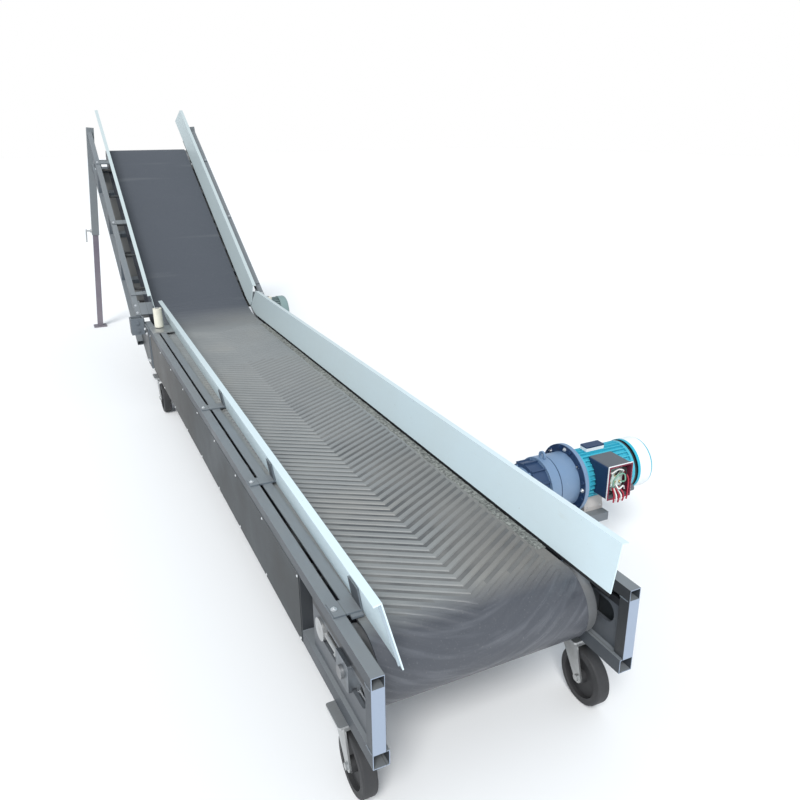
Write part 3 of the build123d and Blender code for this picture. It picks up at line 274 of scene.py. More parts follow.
def metal(name, colour, rough, stain=(0.18, 0.14, 0.11), stain_amount=0.3):
    """Zinc or bare steel with stains and a rolled surface."""
    material, tree, shader = new_material(name)
    shader.inputs["Metallic"].default_value = 0.85
    plain = coords(tree)
    cloud = noise(tree, plain, 14.0, 5.0, 0.6)
    shade = mix(tree, ramp(tree, cloud, 0.45, 0.75, 0.0, stain_amount), colour, stain)
    tree.links.new(shade, shader.inputs["Base Color"])
    tree.links.new(ramp(tree, cloud, 0.3, 0.7, rough - 0.08, rough + 0.15), shader.inputs["Roughness"])
    bump(tree, shader, noise(tree, plain, 180.0, 3.0, 0.6), 0.1, 0.001)
    return material


def moulded(name, colour, rough):
    """Moulded plastic with a fine grain."""
    material, tree, shader = new_material(name)
    plain = coords(tree)
    cloud = noise(tree, plain, 9.0, 4.0, 0.6)
    darker = tuple(c * 0.82 for c in colour)
    tree.links.new(mix(tree, ramp(tree, cloud, 0.4, 0.7), colour, darker), shader.inputs["Base Color"])
    tree.links.new(ramp(tree, cloud, 0.3, 0.7, rough - 0.05, rough + 0.12), shader.inputs["Roughness"])
    bump(tree, shader, noise(tree, plain, 400.0, 2.0, 0.5), 0.12, 0.0008)
    return material


def gritty(name, dark, light, scale):
    """Hard, crumbly dirt."""
    material, tree, shader = new_material(name)
    cloud = noise(tree, coords(tree), scale, 6.0, 0.75)
    tree.links.new(mix(tree, ramp(tree, cloud, 0.40, 0.66), dark, light), shader.inputs["Base Color"])
    tree.links.new(ramp(tree, cloud, 0.3, 0.7, 0.75, 0.95), shader.inputs["Roughness"])
    bump(tree, shader, cloud, 0.7, 0.004)
    return material


# Colours of the belt's rubber, of the dirt on it and of a painted sheen
RUBBER = (0.063, 0.071, 0.086)
RUBBER_DUST = (0.272, 0.282, 0.278)
BROWN_DUST = (0.300, 0.275, 0.235)
BARE_RUBBER = (0.135, 0.124, 0.114)
DRUM_RUBBER = (0.070, 0.075, 0.088)
STREAK_SHEEN = (0.235, 0.245, 0.270)
CROSS_MARKS = (0.15, 0.16, 0.17)
GRIT = (0.42, 0.42, 0.40)
GROOVE = (0.085, 0.090, 0.094)
GROOVE_DUST = (0.190, 0.190, 0.184)
GROOVE_SIDE = (0.150, 0.144, 0.136)
GROOVE_FILLED = (0.230, 0.232, 0.226)


def belt_place(tree):
    """The belt's own coordinates in metres: across it, and along it from the tail drum's low side."""
    place = tree.nodes.new("ShaderNodeUVMap")
    place.uv_map = BELT_MAP
    parts = split(tree, place.outputs["UV"])
    return parts["X"], parts["Y"]


def belt_look():
    """Rubber with dust between the ribs, worn and shining round the tail drum with a painted sheen along its
    streaks, dark on the rising run.
    """
    material, tree, shader = new_material("belt_look")
    across, along = belt_place(tree)
    plain = coords(tree)
    cloud = noise(tree, plain, 2.6, 6.0, 0.62)
    grit = noise(tree, plain, 150.0, 4.0, 0.65)
    flat = ramp(tree, along, BELT_BEND - 0.25, BELT_BEND + 0.30, 1.0, 0.0)
    wrap = ramp(tree, along, WRAP_END - 0.06, WRAP_END + 0.05, 1.0, 0.0)
    dusty = times(tree, flat, ramp(tree, cloud, 0.25, 0.75, 0.72, 1.0))
    shade = mix(tree, dusty, RUBBER, RUBBER_DUST)
    # Patches of brown dust on the flat run
    brown = times(tree, ramp(tree, noise(tree, plain, 1.1, 3.0, 0.5), 0.48, 0.62), flat)
    shade = mix(tree, times(tree, brown, 0.35), shade, BROWN_DUST)
    # Bare, browner rubber towards the right edge near the tail drum
    rightward = ramp(tree, across, 0.02, 0.26)
    near = ramp(tree, along, WRAP_END + 0.1, WRAP_END + 1.4, 1.0, 0.0)
    bare = times(tree, rightward, near)
    shade = mix(tree, times(tree, bare, 0.75), shade, BARE_RUBBER)
    shade = mix(tree, wrap, shade, DRUM_RUBBER)
    # Streaks that run askew round the tail drum: bumps and wear, with a pale bluish painted sheen along them
    lean = maths(tree, "ADD", times(tree, across, -1.3), -0.12)
    skewed = maths(tree, "ADD", times(tree, lean, across), along)
    streak = noise(tree, combine(tree, skewed, times(tree, across, 0.12)), 34.0, 3.0, 0.55)
    worn = times(tree, ramp(tree, streak, 0.50, 0.66), wrap)
    shade = mix(tree, times(tree, worn, 0.20), shade, STREAK_SHEEN)
    # Cross marks on the rising run
    crosswise = combine(tree, along, times(tree, across, 0.08))
    marks = ramp(tree, noise(tree, crosswise, 9.0, 2.0, 0.5), 0.62, 0.70, 0.0, 0.30)
    rising = ramp(tree, flat, 0.0, 1.0, 1.0, 0.0)
    shade = mix(tree, times(tree, marks, rising), shade, CROSS_MARKS)
    shade = mix(tree, ramp(tree, grit, 0.60, 0.78, 0.0, 0.22), shade, GRIT)
    tree.links.new(shade, shader.inputs["Base Color"])
    # Shine round the tail drum and at the bend
    into_bend = ramp(tree, along, BELT_BEND - 0.10, BELT_BEND + 0.12)
    out_of_bend = ramp(tree, along, BELT_BEND + 0.35, BELT_BEND + 0.60, 1.0, 0.0)
    bend_gloss = times(tree, into_bend, out_of_bend)
    shine = times(tree, wrap, ramp(tree, streak, 0.45, 0.65, 0.10, 0.24))
    shine = maths(tree, "ADD", shine, times(tree, bend_gloss, 0.14))
    rough = ramp(tree, cloud, 0.3, 0.7, 0.44, 0.58)
    tree.links.new(maths(tree, "SUBTRACT", rough, shine), shader.inputs["Roughness"])
    # Ripples where the belt bends upwards
    ripple = noise(tree, crosswise, 46.0, 3.0, 0.6)
    ripples = times(tree, times(tree, ripple, bend_gloss), 3.0)
    height = times(tree, streak, times(tree, wrap, 1.7))
    height = maths(tree, "ADD", times(tree, grit, 0.35), maths(tree, "ADD", height, ripples))
    bump(tree, shader, height, 0.32, 0.0035)
    return material


def groove_look():
    """The grooves between the ribs: darker rubber, filled with dust in places."""
    material, tree, shader = new_material("groove_look")
    across, along = belt_place(tree)
    plain = coords(tree)
    cloud = noise(tree, plain, 5.0, 5.0, 0.6)
    shade = mix(tree, ramp(tree, cloud, 0.40, 0.68), GROOVE, GROOVE_DUST)
    askew = maths(tree, "ADD", along, times(tree, across, 0.10))
    near = ramp(tree, askew, WRAP_END - 0.10, WRAP_END + 0.12, 1.0, 0.0)
    far = ramp(tree, along, WRAP_END + 1.2, WRAP_END + 2.5, 0.0, 0.85)
    side = ramp(tree, across, 0.0, 0.12, 0.0, 0.42)
    shade = mix(tree, side, shade, GROOVE_SIDE)
    shade = mix(tree, maths(tree, "MAXIMUM", near, far), shade, GROOVE_FILLED)
    tree.links.new(shade, shader.inputs["Base Color"])
    tree.links.new(ramp(tree, cloud, 0.3, 0.7, 0.5, 0.7), shader.inputs["Roughness"])
    bump(tree, shader, noise(tree, plain, 140.0, 4.0, 0.65), 0.2, 0.0015)
    return material


# Second coats: each helper gives a maker of a factor, which add_coat calls with the look's node tree
def between(axis, first, last):
    """One between two places along an axis, zero elsewhere; places are in the source's millimetres."""

    def factor(tree):
        offset = {"X": SHIFT.x, "Y": SHIFT.y, "Z": 0.0}[axis]
        value = split(tree, coords(tree))[axis]
        over = maths(tree, "GREATER_THAN", value, first / 1000 + offset)
        under = maths(tree, "LESS_THAN", value, last / 1000 + offset)
        return times(tree, over, under)

    return factor


def outside(centre, radius):
    """One beyond a radius round a line across the machine."""

    def factor(tree):
        place = at(0, *centre)
        parts = split(tree, coords(tree))
        dy = maths(tree, "SUBTRACT", parts["Y"], place.y)
        dz = maths(tree, "SUBTRACT", parts["Z"], place.z)
        square = maths(tree, "ADD", times(tree, dy, dy), times(tree, dz, dz))
        return maths(tree, "GREATER_THAN", maths(tree, "SQRT", square), radius / 1000)

    return factor


def facing(axis, low, high):
    """Share of a surface that faces along an axis, from one slope of its normal to another."""

    def factor(tree):
        shape = tree.nodes.new("ShaderNodeNewGeometry")
        return ramp(tree, split(tree, shape.outputs["Normal"])[axis], low, high)

    return factor


def farther(first, last):
    """Grows from zero to one between two distances from the feed end, in metres."""
    return lambda tree: ramp(tree, split(tree, coords(tree))["Y"], first + SHIFT.y, last + SHIFT.y)


def both(first, second):
    return lambda tree: times(tree, first(tree), second(tree))


def add_coat(material, factor_maker, colour, amount):
    """Lays a second paint over part of a material."""
    tree = material.node_tree
    base = tree.nodes["Principled BSDF"].inputs["Base Color"]
    factor = factor_maker(tree)
    if amount < 1:
        factor = times(tree, factor, amount)
    under = base.links[0].from_socket
    tree.links.new(mix(tree, factor, under, colour), base)


# Navy; on the reducer and on the terminal box's left wall it is painted shade
NAVY = (0.012, 0.036, 0.098)
TEAL = (0.030, 0.420, 0.560)
SETTLED_DUST = (0.29, 0.30, 0.30)
# Looks by slot; a paint has its colour, its dust's colour, its roughness and how much dust it holds
LOOKS = {
    "frame_paint": paint("frame_look", (0.128, 0.152, 0.178), (0.21, 0.21, 0.20)),
    "panel_paint": paint("panel_look", (0.024, 0.031, 0.036), (0.066, 0.059, 0.050), 0.55, 0.45),
    "guard_paint": paint("guard_look", (0.70, 0.83, 0.88), (0.60, 0.64, 0.62), 0.34, 0.25),
    "belt_rubber": groove_look(),
    "drum_steel": metal("drum_look", (0.30, 0.31, 0.32), 0.45),
    "roller_steel": metal("roller_look", (0.10, 0.105, 0.11), 0.55),
    "zinc": metal("zinc_look", (0.50, 0.51, 0.51), 0.38),
    "nylon": moulded("nylon_look", (0.76, 0.73, 0.62), 0.5),
    "reducer_paint": paint("reducer_look", (0.150, 0.250, 0.400), (0.30, 0.35, 0.42), 0.32, 0.25),
    "motor_paint": paint("motor_look", TEAL, (0.20, 0.52, 0.58), 0.34, 0.2),
    # The cowl's near-white colour is a painted highlight
    "cowl_paint": paint("cowl_look", (0.86, 0.90, 0.91), (0.76, 0.78, 0.76), 0.4, 0.15),
    "leg_paint": paint("leg_look", (0.150, 0.130, 0.165), (0.27, 0.25, 0.25), 0.5, 0.5),
    "caster_rubber": moulded("caster_look", (0.035, 0.035, 0.037), 0.62),
}
BLACK = moulded("black_look", (0.02, 0.021, 0.023), 0.55)
BOX_GREY = paint("box_lid_look", (0.070, 0.085, 0.105), (0.22, 0.23, 0.24), 0.45, 0.3)
GASKET = moulded("gasket_look", (0.210, 0.016, 0.045), 0.6)
BOX_INSIDE = moulded("box_inside_look", (0.66, 0.78, 0.72), 0.5)
RED_WIRE = moulded("red_wire_look", (0.42, 0.020, 0.045), 0.4)
WHITE_WIRE = moulded("white_wire_look", (0.85, 0.84, 0.82), 0.4)
GREEN_WIRE = moulded("green_wire_look", (0.22, 0.46, 0.34), 0.4)
BRASS = metal("brass_look", (0.62, 0.47, 0.22), 0.3)
BRIGHT = metal("bright_look", (0.74, 0.75, 0.76), 0.3, stain_amount=0.15)
DIRT = gritty("dirt_look", (0.075, 0.078, 0.074), (0.36, 0.37, 0.34), 75.0)
WELD = metal("weld_look", (0.30, 0.33, 0.36), 0.5)
# Darker copy of the guard's pale paint: painted shade on its folded lip
SHADED_LIP = paint("lip_look", (0.36, 0.43, 0.48), (0.40, 0.42, 0.42), 0.4, 0.3)
TAKEUP = paint("takeup_look", (0.080, 0.090, 0.103), (0.16, 0.16, 0.16), 0.4, 0.4)
LEG_OUTER = paint("leg_outer_look", (0.175, 0.195, 0.210), (0.26, 0.26, 0.25), 0.45, 0.3)
BEND_DUST = (0.3, 0.3, 0.28)

# Pieces whose look isn't that of their slot
OWN_LOOKS = {
    "terminal_box": BOX_GREY,
    "terminal_block": BOX_INSIDE,
    "leg_outer_left": LEG_OUTER,
    "leg_outer_right": LEG_OUTER,
    "takeup_plates": TAKEUP,
    "takeup_blocks": metal("block_look", (0.20, 0.22, 0.24), 0.4),
    "bend_reducer": paint("bend_reducer_look", (0.16, 0.20, 0.21), BEND_DUST),
    "bend_motor": paint("bend_motor_look", (0.15, 0.22, 0.23), BEND_DUST),
    "bend_cowl": paint("bend_cowl_look", (0.20, 0.30, 0.30), (0.34, 0.35, 0.33)),
}
slots = {row["node"]: row["material_slot"] for row in frame["record"]["subparts"]}
for name, solid in frame["nodes"].items():
    solid.data.materials.clear()
    solid.data.materials.append(OWN_LOOKS.get(name, LOOKS[slots[name]]))

# The terminal box: the middle of its open side, which faces the feed end, and a place beyond its right
BOX_X, BOX_Y, BOX_Z = 1010.0, DRIVE[0] - 186, DRIVE[1] + 32
BOX_BEYOND = BOX_X + 90
# Skins of the rails that face the belt, and the painted shade laid on them
RAIL_SKINS = ((398.5, 401.2), (-401.2, -398.5), (450.5, 453.2), (-453.2, -450.5))
SKIN_SHADE = (0.030, 0.032, 0.034)
PLATE_LOW, PLATE_TOP, PLATE_END = (DRIVE[1] + height for height in (111.5, 126.0, 140.0))

# Look and its coats: where, colour and amount, each over the one before
COATS = [
    # Painted shade in navy on parts of the reducer along its axis, with its flange's rim, where its
    # left-facing faces fall in shade, and a teal ring by the motor
    (LOOKS["reducer_paint"], [
        (between("X", 653.0, 719.5), NAVY, 0.9),
        (between("X", 765.5, 770.5), NAVY, 1.0),
        (both(between("X", 850.0, 864.0), outside(DRIVE, 118.5)), NAVY, 1.0),
        (between("X", 884.0, 899.0), (0.05, 0.22, 0.33), 1.0),
    ]),
    # The motor's lifting plate is white with a navy top, its end black, and its foot bare and dusty
    (LOOKS["motor_paint"], [
        (between("Z", PLATE_LOW, PLATE_TOP), (0.86, 0.89, 0.90), 1.0),
        (between("Z", PLATE_TOP, PLATE_END), NAVY, 1.0),
        (between("X", 1166.0, 1184.0), (0.010, 0.012, 0.016), 1.0),
        (between("Z", 250.0, 335.0), (0.50, 0.47, 0.45), 1.0),
    ]),
    # The cowl, near white as a painted highlight, keeps the motor's colour at both its rims
    (LOOKS["cowl_paint"], [
        (between("X", 1180.0, 1196.0), TEAL, 1.0),
        (between("X", 1256.0, 1272.5), TEAL, 1.0),
    ]),
    # The guards turn greyer towards the discharge end
    (LOOKS["guard_paint"], [(farther(0.5, 4.2), (0.45, 0.51, 0.51), 0.85)]),
    # Brown dust on the panels towards the bend, and dust on what faces up
    (LOOKS["panel_paint"], [
        (farther(2.3, 3.7), (0.125, 0.112, 0.100), 0.5),
        (facing("Z", 0.5, 0.9), SETTLED_DUST, 0.40),
    ]),
    # The frame: painted shade on its left faces, painted light on its front ends, painted shade on the skins
    # by the belt and on the posts at the far end of the take-up windows, and dust on what faces up
    (LOOKS["frame_paint"], [
        # Painted shade on the faces turned to the left
        (facing("X", -0.80, -0.95), (0.034, 0.040, 0.048), 0.85),
        # Painted light on the faces of the front ends
        (both(facing("Y", -0.75, -0.95), between("Y", -50.0, 60.0)), (0.37, 0.44, 0.56), 0.75),
        # Painted shade on the rails' skins by the belt
        *[(between("X", low, high), SKIN_SHADE, 0.85) for low, high in RAIL_SKINS],
        # Painted shade on the posts at the far end of the take-up windows
        (both(between("Y", 565.0, 612.0), between("Z", 296.0, 504.0)), (0.022, 0.024, 0.027), 0.9),
        (facing("Z", 0.5, 0.9), SETTLED_DUST, 0.40),
    ]),
    # Painted shadow on the plates above the take-up slots, below the top rail
    (TAKEUP, [(between("Z", 452.0, 505.0), (0.012, 0.013, 0.015), 0.9)]),
    # The terminal box's left wall is navy as painted shade, and the inside of its right wall dark red
    (BOX_GREY, [
        # Painted shade in navy on the box's left-facing faces
        (facing("X", -0.6, -0.8), NAVY, 1.0),
        (both(facing("X", -0.6, -0.8), between("X", BOX_X, BOX_BEYOND)), (0.150, 0.014, 0.040), 1.0),
    ]),
]
for look, coats in COATS:
    for where, colour, amount in coats:
        add_coat(look, where, colour, amount)


def soften(solid, width):
    """Rounds a CAD piece's edges a little, so that they catch the light."""
    edge = solid.modifiers.new("edge", "BEVEL")
    edge.width = width
    edge.segments = 2
    edge.limit_method = "ANGLE"
    edge.angle_limit = math.radians(32)


# Edge width in metres, and the beginnings of the pieces' names
SOFT_EDGES = [
    (0.003, ("side_frame", "slope_frame", "cross", "slope_cross", "leg_outer", "leg_inner")),
    (0.003, ("guard_brackets",)),
    (0.0008, ("guard_left", "guard_right", "slope_guard", "takeup", "terminal_box")),
    (0.0008, ("motor_shelf", "bend_s")),
]
for name, solid in frame["nodes"].items():
    for width, beginnings in SOFT_EDGES:
        if name.startswith(beginnings):
            soften(solid, width)


def add_piece(name, mesh, looks, smooth):
    """Turns a mesh under work into a piece that rides on the conveyor."""
    data = bpy.data.meshes.new(name)
    mesh.to_mesh(data)
    mesh.free()
    for look in looks:
        data.materials.append(look)
    data.shade_smooth()
    data.set_sharp_from_angle(angle=math.radians(smooth))
    piece = bpy.data.objects.new(name, data)
    bpy.context.scene.collection.objects.link(piece)
    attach(piece, ROOT)
    return piece


class Batch:
    """Gathers shapes of one material, which become one piece."""

    def __init__(self, name, material):
        self.name = name
        self.material = material
        self.mesh = bmesh.new()

    def ring(self, centre, along, radius, sides, turn):
        along = along.normalized()
        side = along.orthogonal().normalized()
        other = along.cross(side)
        made = []
        for i in range(sides):
            angle = turn + 2 * math.pi * i / sides
            spot = centre + (side * math.cos(angle) + other * math.sin(angle)) * radius
            made.append(self.mesh.verts.new(spot))
        return made

    def skin(self, rings):
        """Faces between rings of equal count, and a cap at each end."""
        sides = len(rings[0])
        for low, high in zip(rings, rings[1:]):
            for i in range(sides):
                j = (i + 1) % sides
                self.mesh.faces.new((low[i], low[j], high[j], high[i]))
        self.mesh.faces.new(list(reversed(rings[0])))
        self.mesh.faces.new(rings[-1])

    def lathe(self, start, along, rows, sides=24, turn=0.0):
        """Solid of rings: each row is a height along the axis and a radius, in millimetres."""
        along = along.normalized()
        rings = [self.ring(start + along * (h / 1000), along, r / 1000, sides, turn) for h, r in rows]
        self.skin(rings)

    def hex_bolt(self, spot, along, across, head):
        """Washer, hexagon and the bolt's end, by the width across flats and the head's height."""
        radius = across / 2 / math.cos(math.pi / 6)
        turn = random.uniform(0, 1)
        self.lathe(spot, along, [(-0.5, radius * 1.28), (1.6, radius * 1.28)], 20)
        rows = [(1.4, radius), (head - 1.2, radius), (head, radius * 0.84)]
        self.lathe(spot, along, rows, 6, turn)
        self.lathe(spot, along, [(head - 0.5, across * 0.26), (head + 3.0, across * 0.24)], 12)

    def tube(self, points, radius, sides=8):
        """Round bar through a list of points; radius is in millimetres, or a function of the point."""
        rings = []
        for i, spot in enumerate(points):
            ahead = points[min(i + 1, len(points) - 1)] - points[max(i - 1, 0)]
            ahead = ahead.normalized()
            side = ahead.cross(Vector((0.31, 0.17, 0.94))).normalized()
            other = ahead.cross(side)
            thick = radius(i) if callable(radius) else radius
            loop = []
            for k in range(sides):
                angle = 2 * math.pi * k / sides
                offset = side * math.cos(angle) + other * math.sin(angle)
                loop.append(self.mesh.verts.new(spot + offset * thick / 1000))
            rings.append(loop)
        self.skin(rings)

    def weld(self, first, second, radius=2.2):
        """Bead of a weld from one point to another, in ripples."""
        count = max(int((second - first).length * 1000 / 3.5), 3)
        points = []
        for i in range(count + 1):
            wobble = Vector([random.uniform(-0.0004, 0.0004) for _ in range(3)])
            points.append(first.lerp(second, i / count) + wobble)
        self.tube(points, lambda i: radius * (0.82 + 0.3 * (i % 2)) * random.uniform(0.85, 1.1), 6)

    def block(self, centre, size, along=Y_DIR, up=Z_DIR, bevel=1.0):
        """Box with chamfered edges; its size is in millimetres, across, along and up."""
        along, up = along.normalized(), up.normalized()
        made = bmesh.ops.create_cube(self.mesh, size=1.0)
        turn = Matrix((along.cross(up), along, up)).transposed().to_4x4()
        scale = Matrix.Diagonal((*[value / 1000 for value in size], 1.0))
        bmesh.ops.transform(self.mesh, matrix=Matrix.Translation(centre) @ turn @ scale, verts=made["verts"])
        edges = list({edge for vert in made["verts"] for edge in vert.link_edges})
        bmesh.ops.bevel(self.mesh, geom=edges, offset=bevel / 1000, segments=2, affect="EDGES")

    def finish(self, smooth=35):
        bmesh.ops.recalc_face_normals(self.mesh, faces=self.mesh.faces)
        return add_piece(self.name, self.mesh, [self.material], smooth)


# The belt with its ribs: their pitch, how far their arms run ahead for each millimetre outwards, and
# the half width over them; the rows start on the tail drum's low side
RIB_PITCH = 44.2
RIB_RISE = 0.62
RIB_HALF = 310.0
RIB_HEIGHT = 4.6
RIB_LEAST = 0.35
WORN_OVER = 120
CHOKED_OVER = 1500
BELT_START = WRAP_MM - 330
# Where the ribs begin and end, rows fan out from straight ones; beyond, rows are closer on a curve
FAN_ROWS = 8
FAN_IN = 20
FAN_OUT = 200
PLAIN_STEP, CURVE_STEP, CURVE_NEAR = 40, 16, 30
# The grooves' own look lies between these lengths, and the rising run has slight waves between those
GROOVED = (WRAP_MM + 20, WRAP_MM + 2600)
WAVY = (BEND_MM + 900, BEND_MM + 2400)
COLUMNS = [-BELT_HALF, -RIB_HALF - 3, -RIB_HALF + 1, -265, -215, -165, -115, -70, -32, 0]
COLUMNS += [-value for value in reversed(COLUMNS[:-1])]
# One rib and its groove: place in the pitch, share of the rib's height, and the look's slot
RIB_ROWS = [
    (0.0, 0.0, 0),
    (3.2, 0.86, 0),
    (7.0, 1.0, 0),
    (18.0, 1.0, 0),
    (21.8, 0.86, 0),
    (25.0, 0.0, 1),
    (34.6, 0.0, 1),
]


def rib_height(along, across):
    """Height of a rib: worn round the tail drum, choked with dust farther on."""
    worn = (along - WRAP_MM + WORN_OVER + 0.10 * across) / WORN_OVER
    worn = min(max(worn, 0.0), 1.0)
    choked = min(max((along - WRAP_MM - CHOKED_OVER) / CHOKED_OVER, 0.0), 1.0)
    patch = 0.88 + 0.3 * field.noise((across / 160, along / 90, 3.0))
    return RIB_HEIGHT * worn * (1.0 - 0.45 * choked) * patch + RIB_LEAST


def belt_rows():
    """Rows across the belt: length at the middle, the arms' rise, share of a rib's height, slot."""
    rows = []
    for k in range(FAN_ROWS):
        rows.append((BELT_START + FAN_IN * k / FAN_ROWS, RIB_RISE * k / FAN_ROWS, 0.0, 0))
    first_rib = BELT_START + FAN_IN
    last_rib = BEND_MM - RIB_RISE * RIB_HALF - 30
    count = int((last_rib - first_rib) / RIB_PITCH)
    for i in range(count):
        base = first_rib + i * RIB_PITCH
        rows += [(base + step, RIB_RISE, share, slot) for step, share, slot in RIB_ROWS]
    final = first_rib + count * RIB_PITCH
    for k in range(FAN_ROWS + 1):
        rows.append((final + FAN_OUT * k / FAN_ROWS, RIB_RISE * (1 - k / FAN_ROWS), 0.0, 0))
    place = final + FAN_OUT
    while place < BELT_START + LOOP - PLAIN_STEP:
        near_curve = any(abs(place - length) < CURVE_NEAR for length in LENGTHS[:-1])
        place += CURVE_STEP if near_curve else PLAIN_STEP
        rows.append((place, 0.0, 0.0, 0))
    return rows


def lay_outside(mesh, uv):
    """The belt's outer skin with its ribs, closed round the loop."""
    grid = []
    for length, rise, share, slot in belt_rows():
        line = []
        for x in COLUMNS:
            along = length + rise * min(abs(x), RIB_HALF)
            lift = share * rib_height(along, x) if abs(x) < RIB_HALF else 0.0
            if WAVY[0] < along < WAVY[1]:
                lift += 0.5 * field.noise((x / 300, along / 120, 0.0))
            y, z, out_y, out_z = on_belt(along)
            vert = mesh.verts.new(at(BELT_MID + x, y + out_y * lift, z + out_z * lift))
            line.append((vert, x / 1000, along / 1000))
        grid.append((line, slot))
    for i, (line, slot) in enumerate(grid):
        ahead = grid[(i + 1) % len(grid)][0]
        round_again = LOOP / 1000 if i == len(grid) - 1 else 0.0
        for j in range(len(COLUMNS) - 1):
            corners = (line[j], line[j + 1], ahead[j + 1], ahead[j])
            face = mesh.faces.new([corner[0] for corner in corners])
            ribbed = abs(COLUMNS[j]) < RIB_HALF and abs(COLUMNS[j + 1]) < RIB_HALF
            grooved = GROOVED[0] < line[j][2] * 1000 < GROOVED[1]
            face.material_index = slot if ribbed and grooved else 0
            for loop, corner, far in zip(face.loops, corners, (0, 0, 1, 1)):
                loop[uv].uv = (corner[1], corner[2] + round_again * far)


def lay_inside(mesh):
    """The belt's inner skin and its two edges."""
    pairs = []
    for length in LENGTHS[:-1]:
        y, z, out_y, out_z = on_belt(length)
        pair = []
        for x in (-BELT_HALF, BELT_HALF):
            low = at(BELT_MID + x, y - out_y * BELT_THICK, z - out_z * BELT_THICK)
            top = at(BELT_MID + x, y, z)
            pair.append((mesh.verts.new(low), mesh.verts.new(top)))
        pairs.append(pair)
    for here, there in zip(pairs, pairs[1:] + pairs[:1]):
        mesh.faces.new((here[1][0], here[0][0], there[0][0], there[1][0]))
        for side in (0, 1):
            mesh.faces.new((here[side][0], here[side][1], there[side][1], there[side][0]))


belt_mesh = bmesh.new()
lay_outside(belt_mesh, belt_mesh.loops.layers.uv.new(BELT_MAP))
lay_inside(belt_mesh)
belt = add_piece("belt_ribbed", belt_mesh, [belt_look(), groove_look()], 40)
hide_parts("belt")

# Bolts; the last two numbers of each are its width across flats and its head's height
BRACKETS = (300.0, 1200.0, 2110.0)
bolts = Batch("bolts", BRIGHT)
for side in SIDES:
    # On the guard brackets of the flat run, and those of the rising run, of which one is wide
    for place in BRACKETS:
        bolts.hex_bolt(at(side * 424, place, TOP + 6), Z_DIR, 13, 5)
    for place in (135.0 - 40, 135.0 + 40, 1210.0, 2110.0):
        bolts.hex_bolt(on_slope(side * 474, place, 6), SLOPE_UP, 13, 5)
    # On the gussets at the bend, outside and inside
    for y, z in ((3920, 500), (3920, 300), (4020, 280), (4000, 515)):
        bolts.hex_bolt(at(side * SLOPE_IN, y, z), X_DIR * side, 19, 8)
    for along, normal in ((150, -60), (40, -200)):
        bolts.hex_bolt(on_slope(side * FRAME_HALF, along, normal), -X_DIR * side, 19, 8)
    # On the head drum's bearings and the drive drum's bearing plates
    for dy in SIDES:
        for dz in SIDES:
            bolts.hex_bolt(on_slope(side * 466, 2305 + dy * 66, -145 + dz * 78), X_DIR * side, 15, 6)
    for dz in (-70, 70):
        for dy in (-155, 155):
            bolts.hex_bolt(at(side * 393, DRIVE[0] + dy, 395 + dz), -X_DIR * side, 17, 7)
# On the reducer's feet, its flange, the motor's feet and the casters' top plates
FEET_Z = 279
REDUCER_X, MOTOR_X = 767, 980
FLANGE_X, FLANGE_RADIUS, FLANGE_BOLTS = 860, 134, 8
CASTER_X, CASTER_Y, CASTER_TOP = 415, (230, 3720), 237
for dx in (-58, 58):
    for dy in (-84, 84):
        bolts.hex_bolt(at(REDUCER_X + dx, DRIVE[0] + dy, FEET_Z), Z_DIR, 17, 8)
for k in range(FLANGE_BOLTS):
    angle = math.radians(360 / FLANGE_BOLTS * k)
    dy, dz = FLANGE_RADIUS * math.cos(angle), FLANGE_RADIUS * math.sin(angle)
    bolts.hex_bolt(at(FLANGE_X, DRIVE[0] + dy, DRIVE[1] + dz), -X_DIR, 13, 7)
for dx in (-34, 34):
    for dy in (-66, 66):
        bolts.hex_bolt(at(MOTOR_X + dx, DRIVE[0] + dy, FEET_Z), Z_DIR, 15, 7)
for y in CASTER_Y:
    for x in (-CASTER_X, CASTER_X):
        for dx in (-42, 42):
            for dy in (-42, 42):
                bolts.hex_bolt(at(x + dx, y + dy, CASTER_TOP), -Z_DIR, 15, 6)
bolts.finish()

# Small round screws along the side panels' edges, but for those that the reducer's shelf hides
screws = Batch("panel_screws", BRIGHT)
for side in SIDES:
    for z in (256.0, 496.0):
        for place in (588.0, 1000.0, 1400.0, 1800.0, 2200.0, 2600.0, 3000.0, 3400.0, 3860.0):
            if side > 0 and z < 300 and abs(place - DRIVE[0]) < 130:
                continue
            spot = at(side * (FRAME_HALF + 2), place, z)
            screws.lathe(spot, X_DIR * side, [(0, 5.2), (1.6, 5.0), (3.0, 2.8)], 12)
screws.finish()

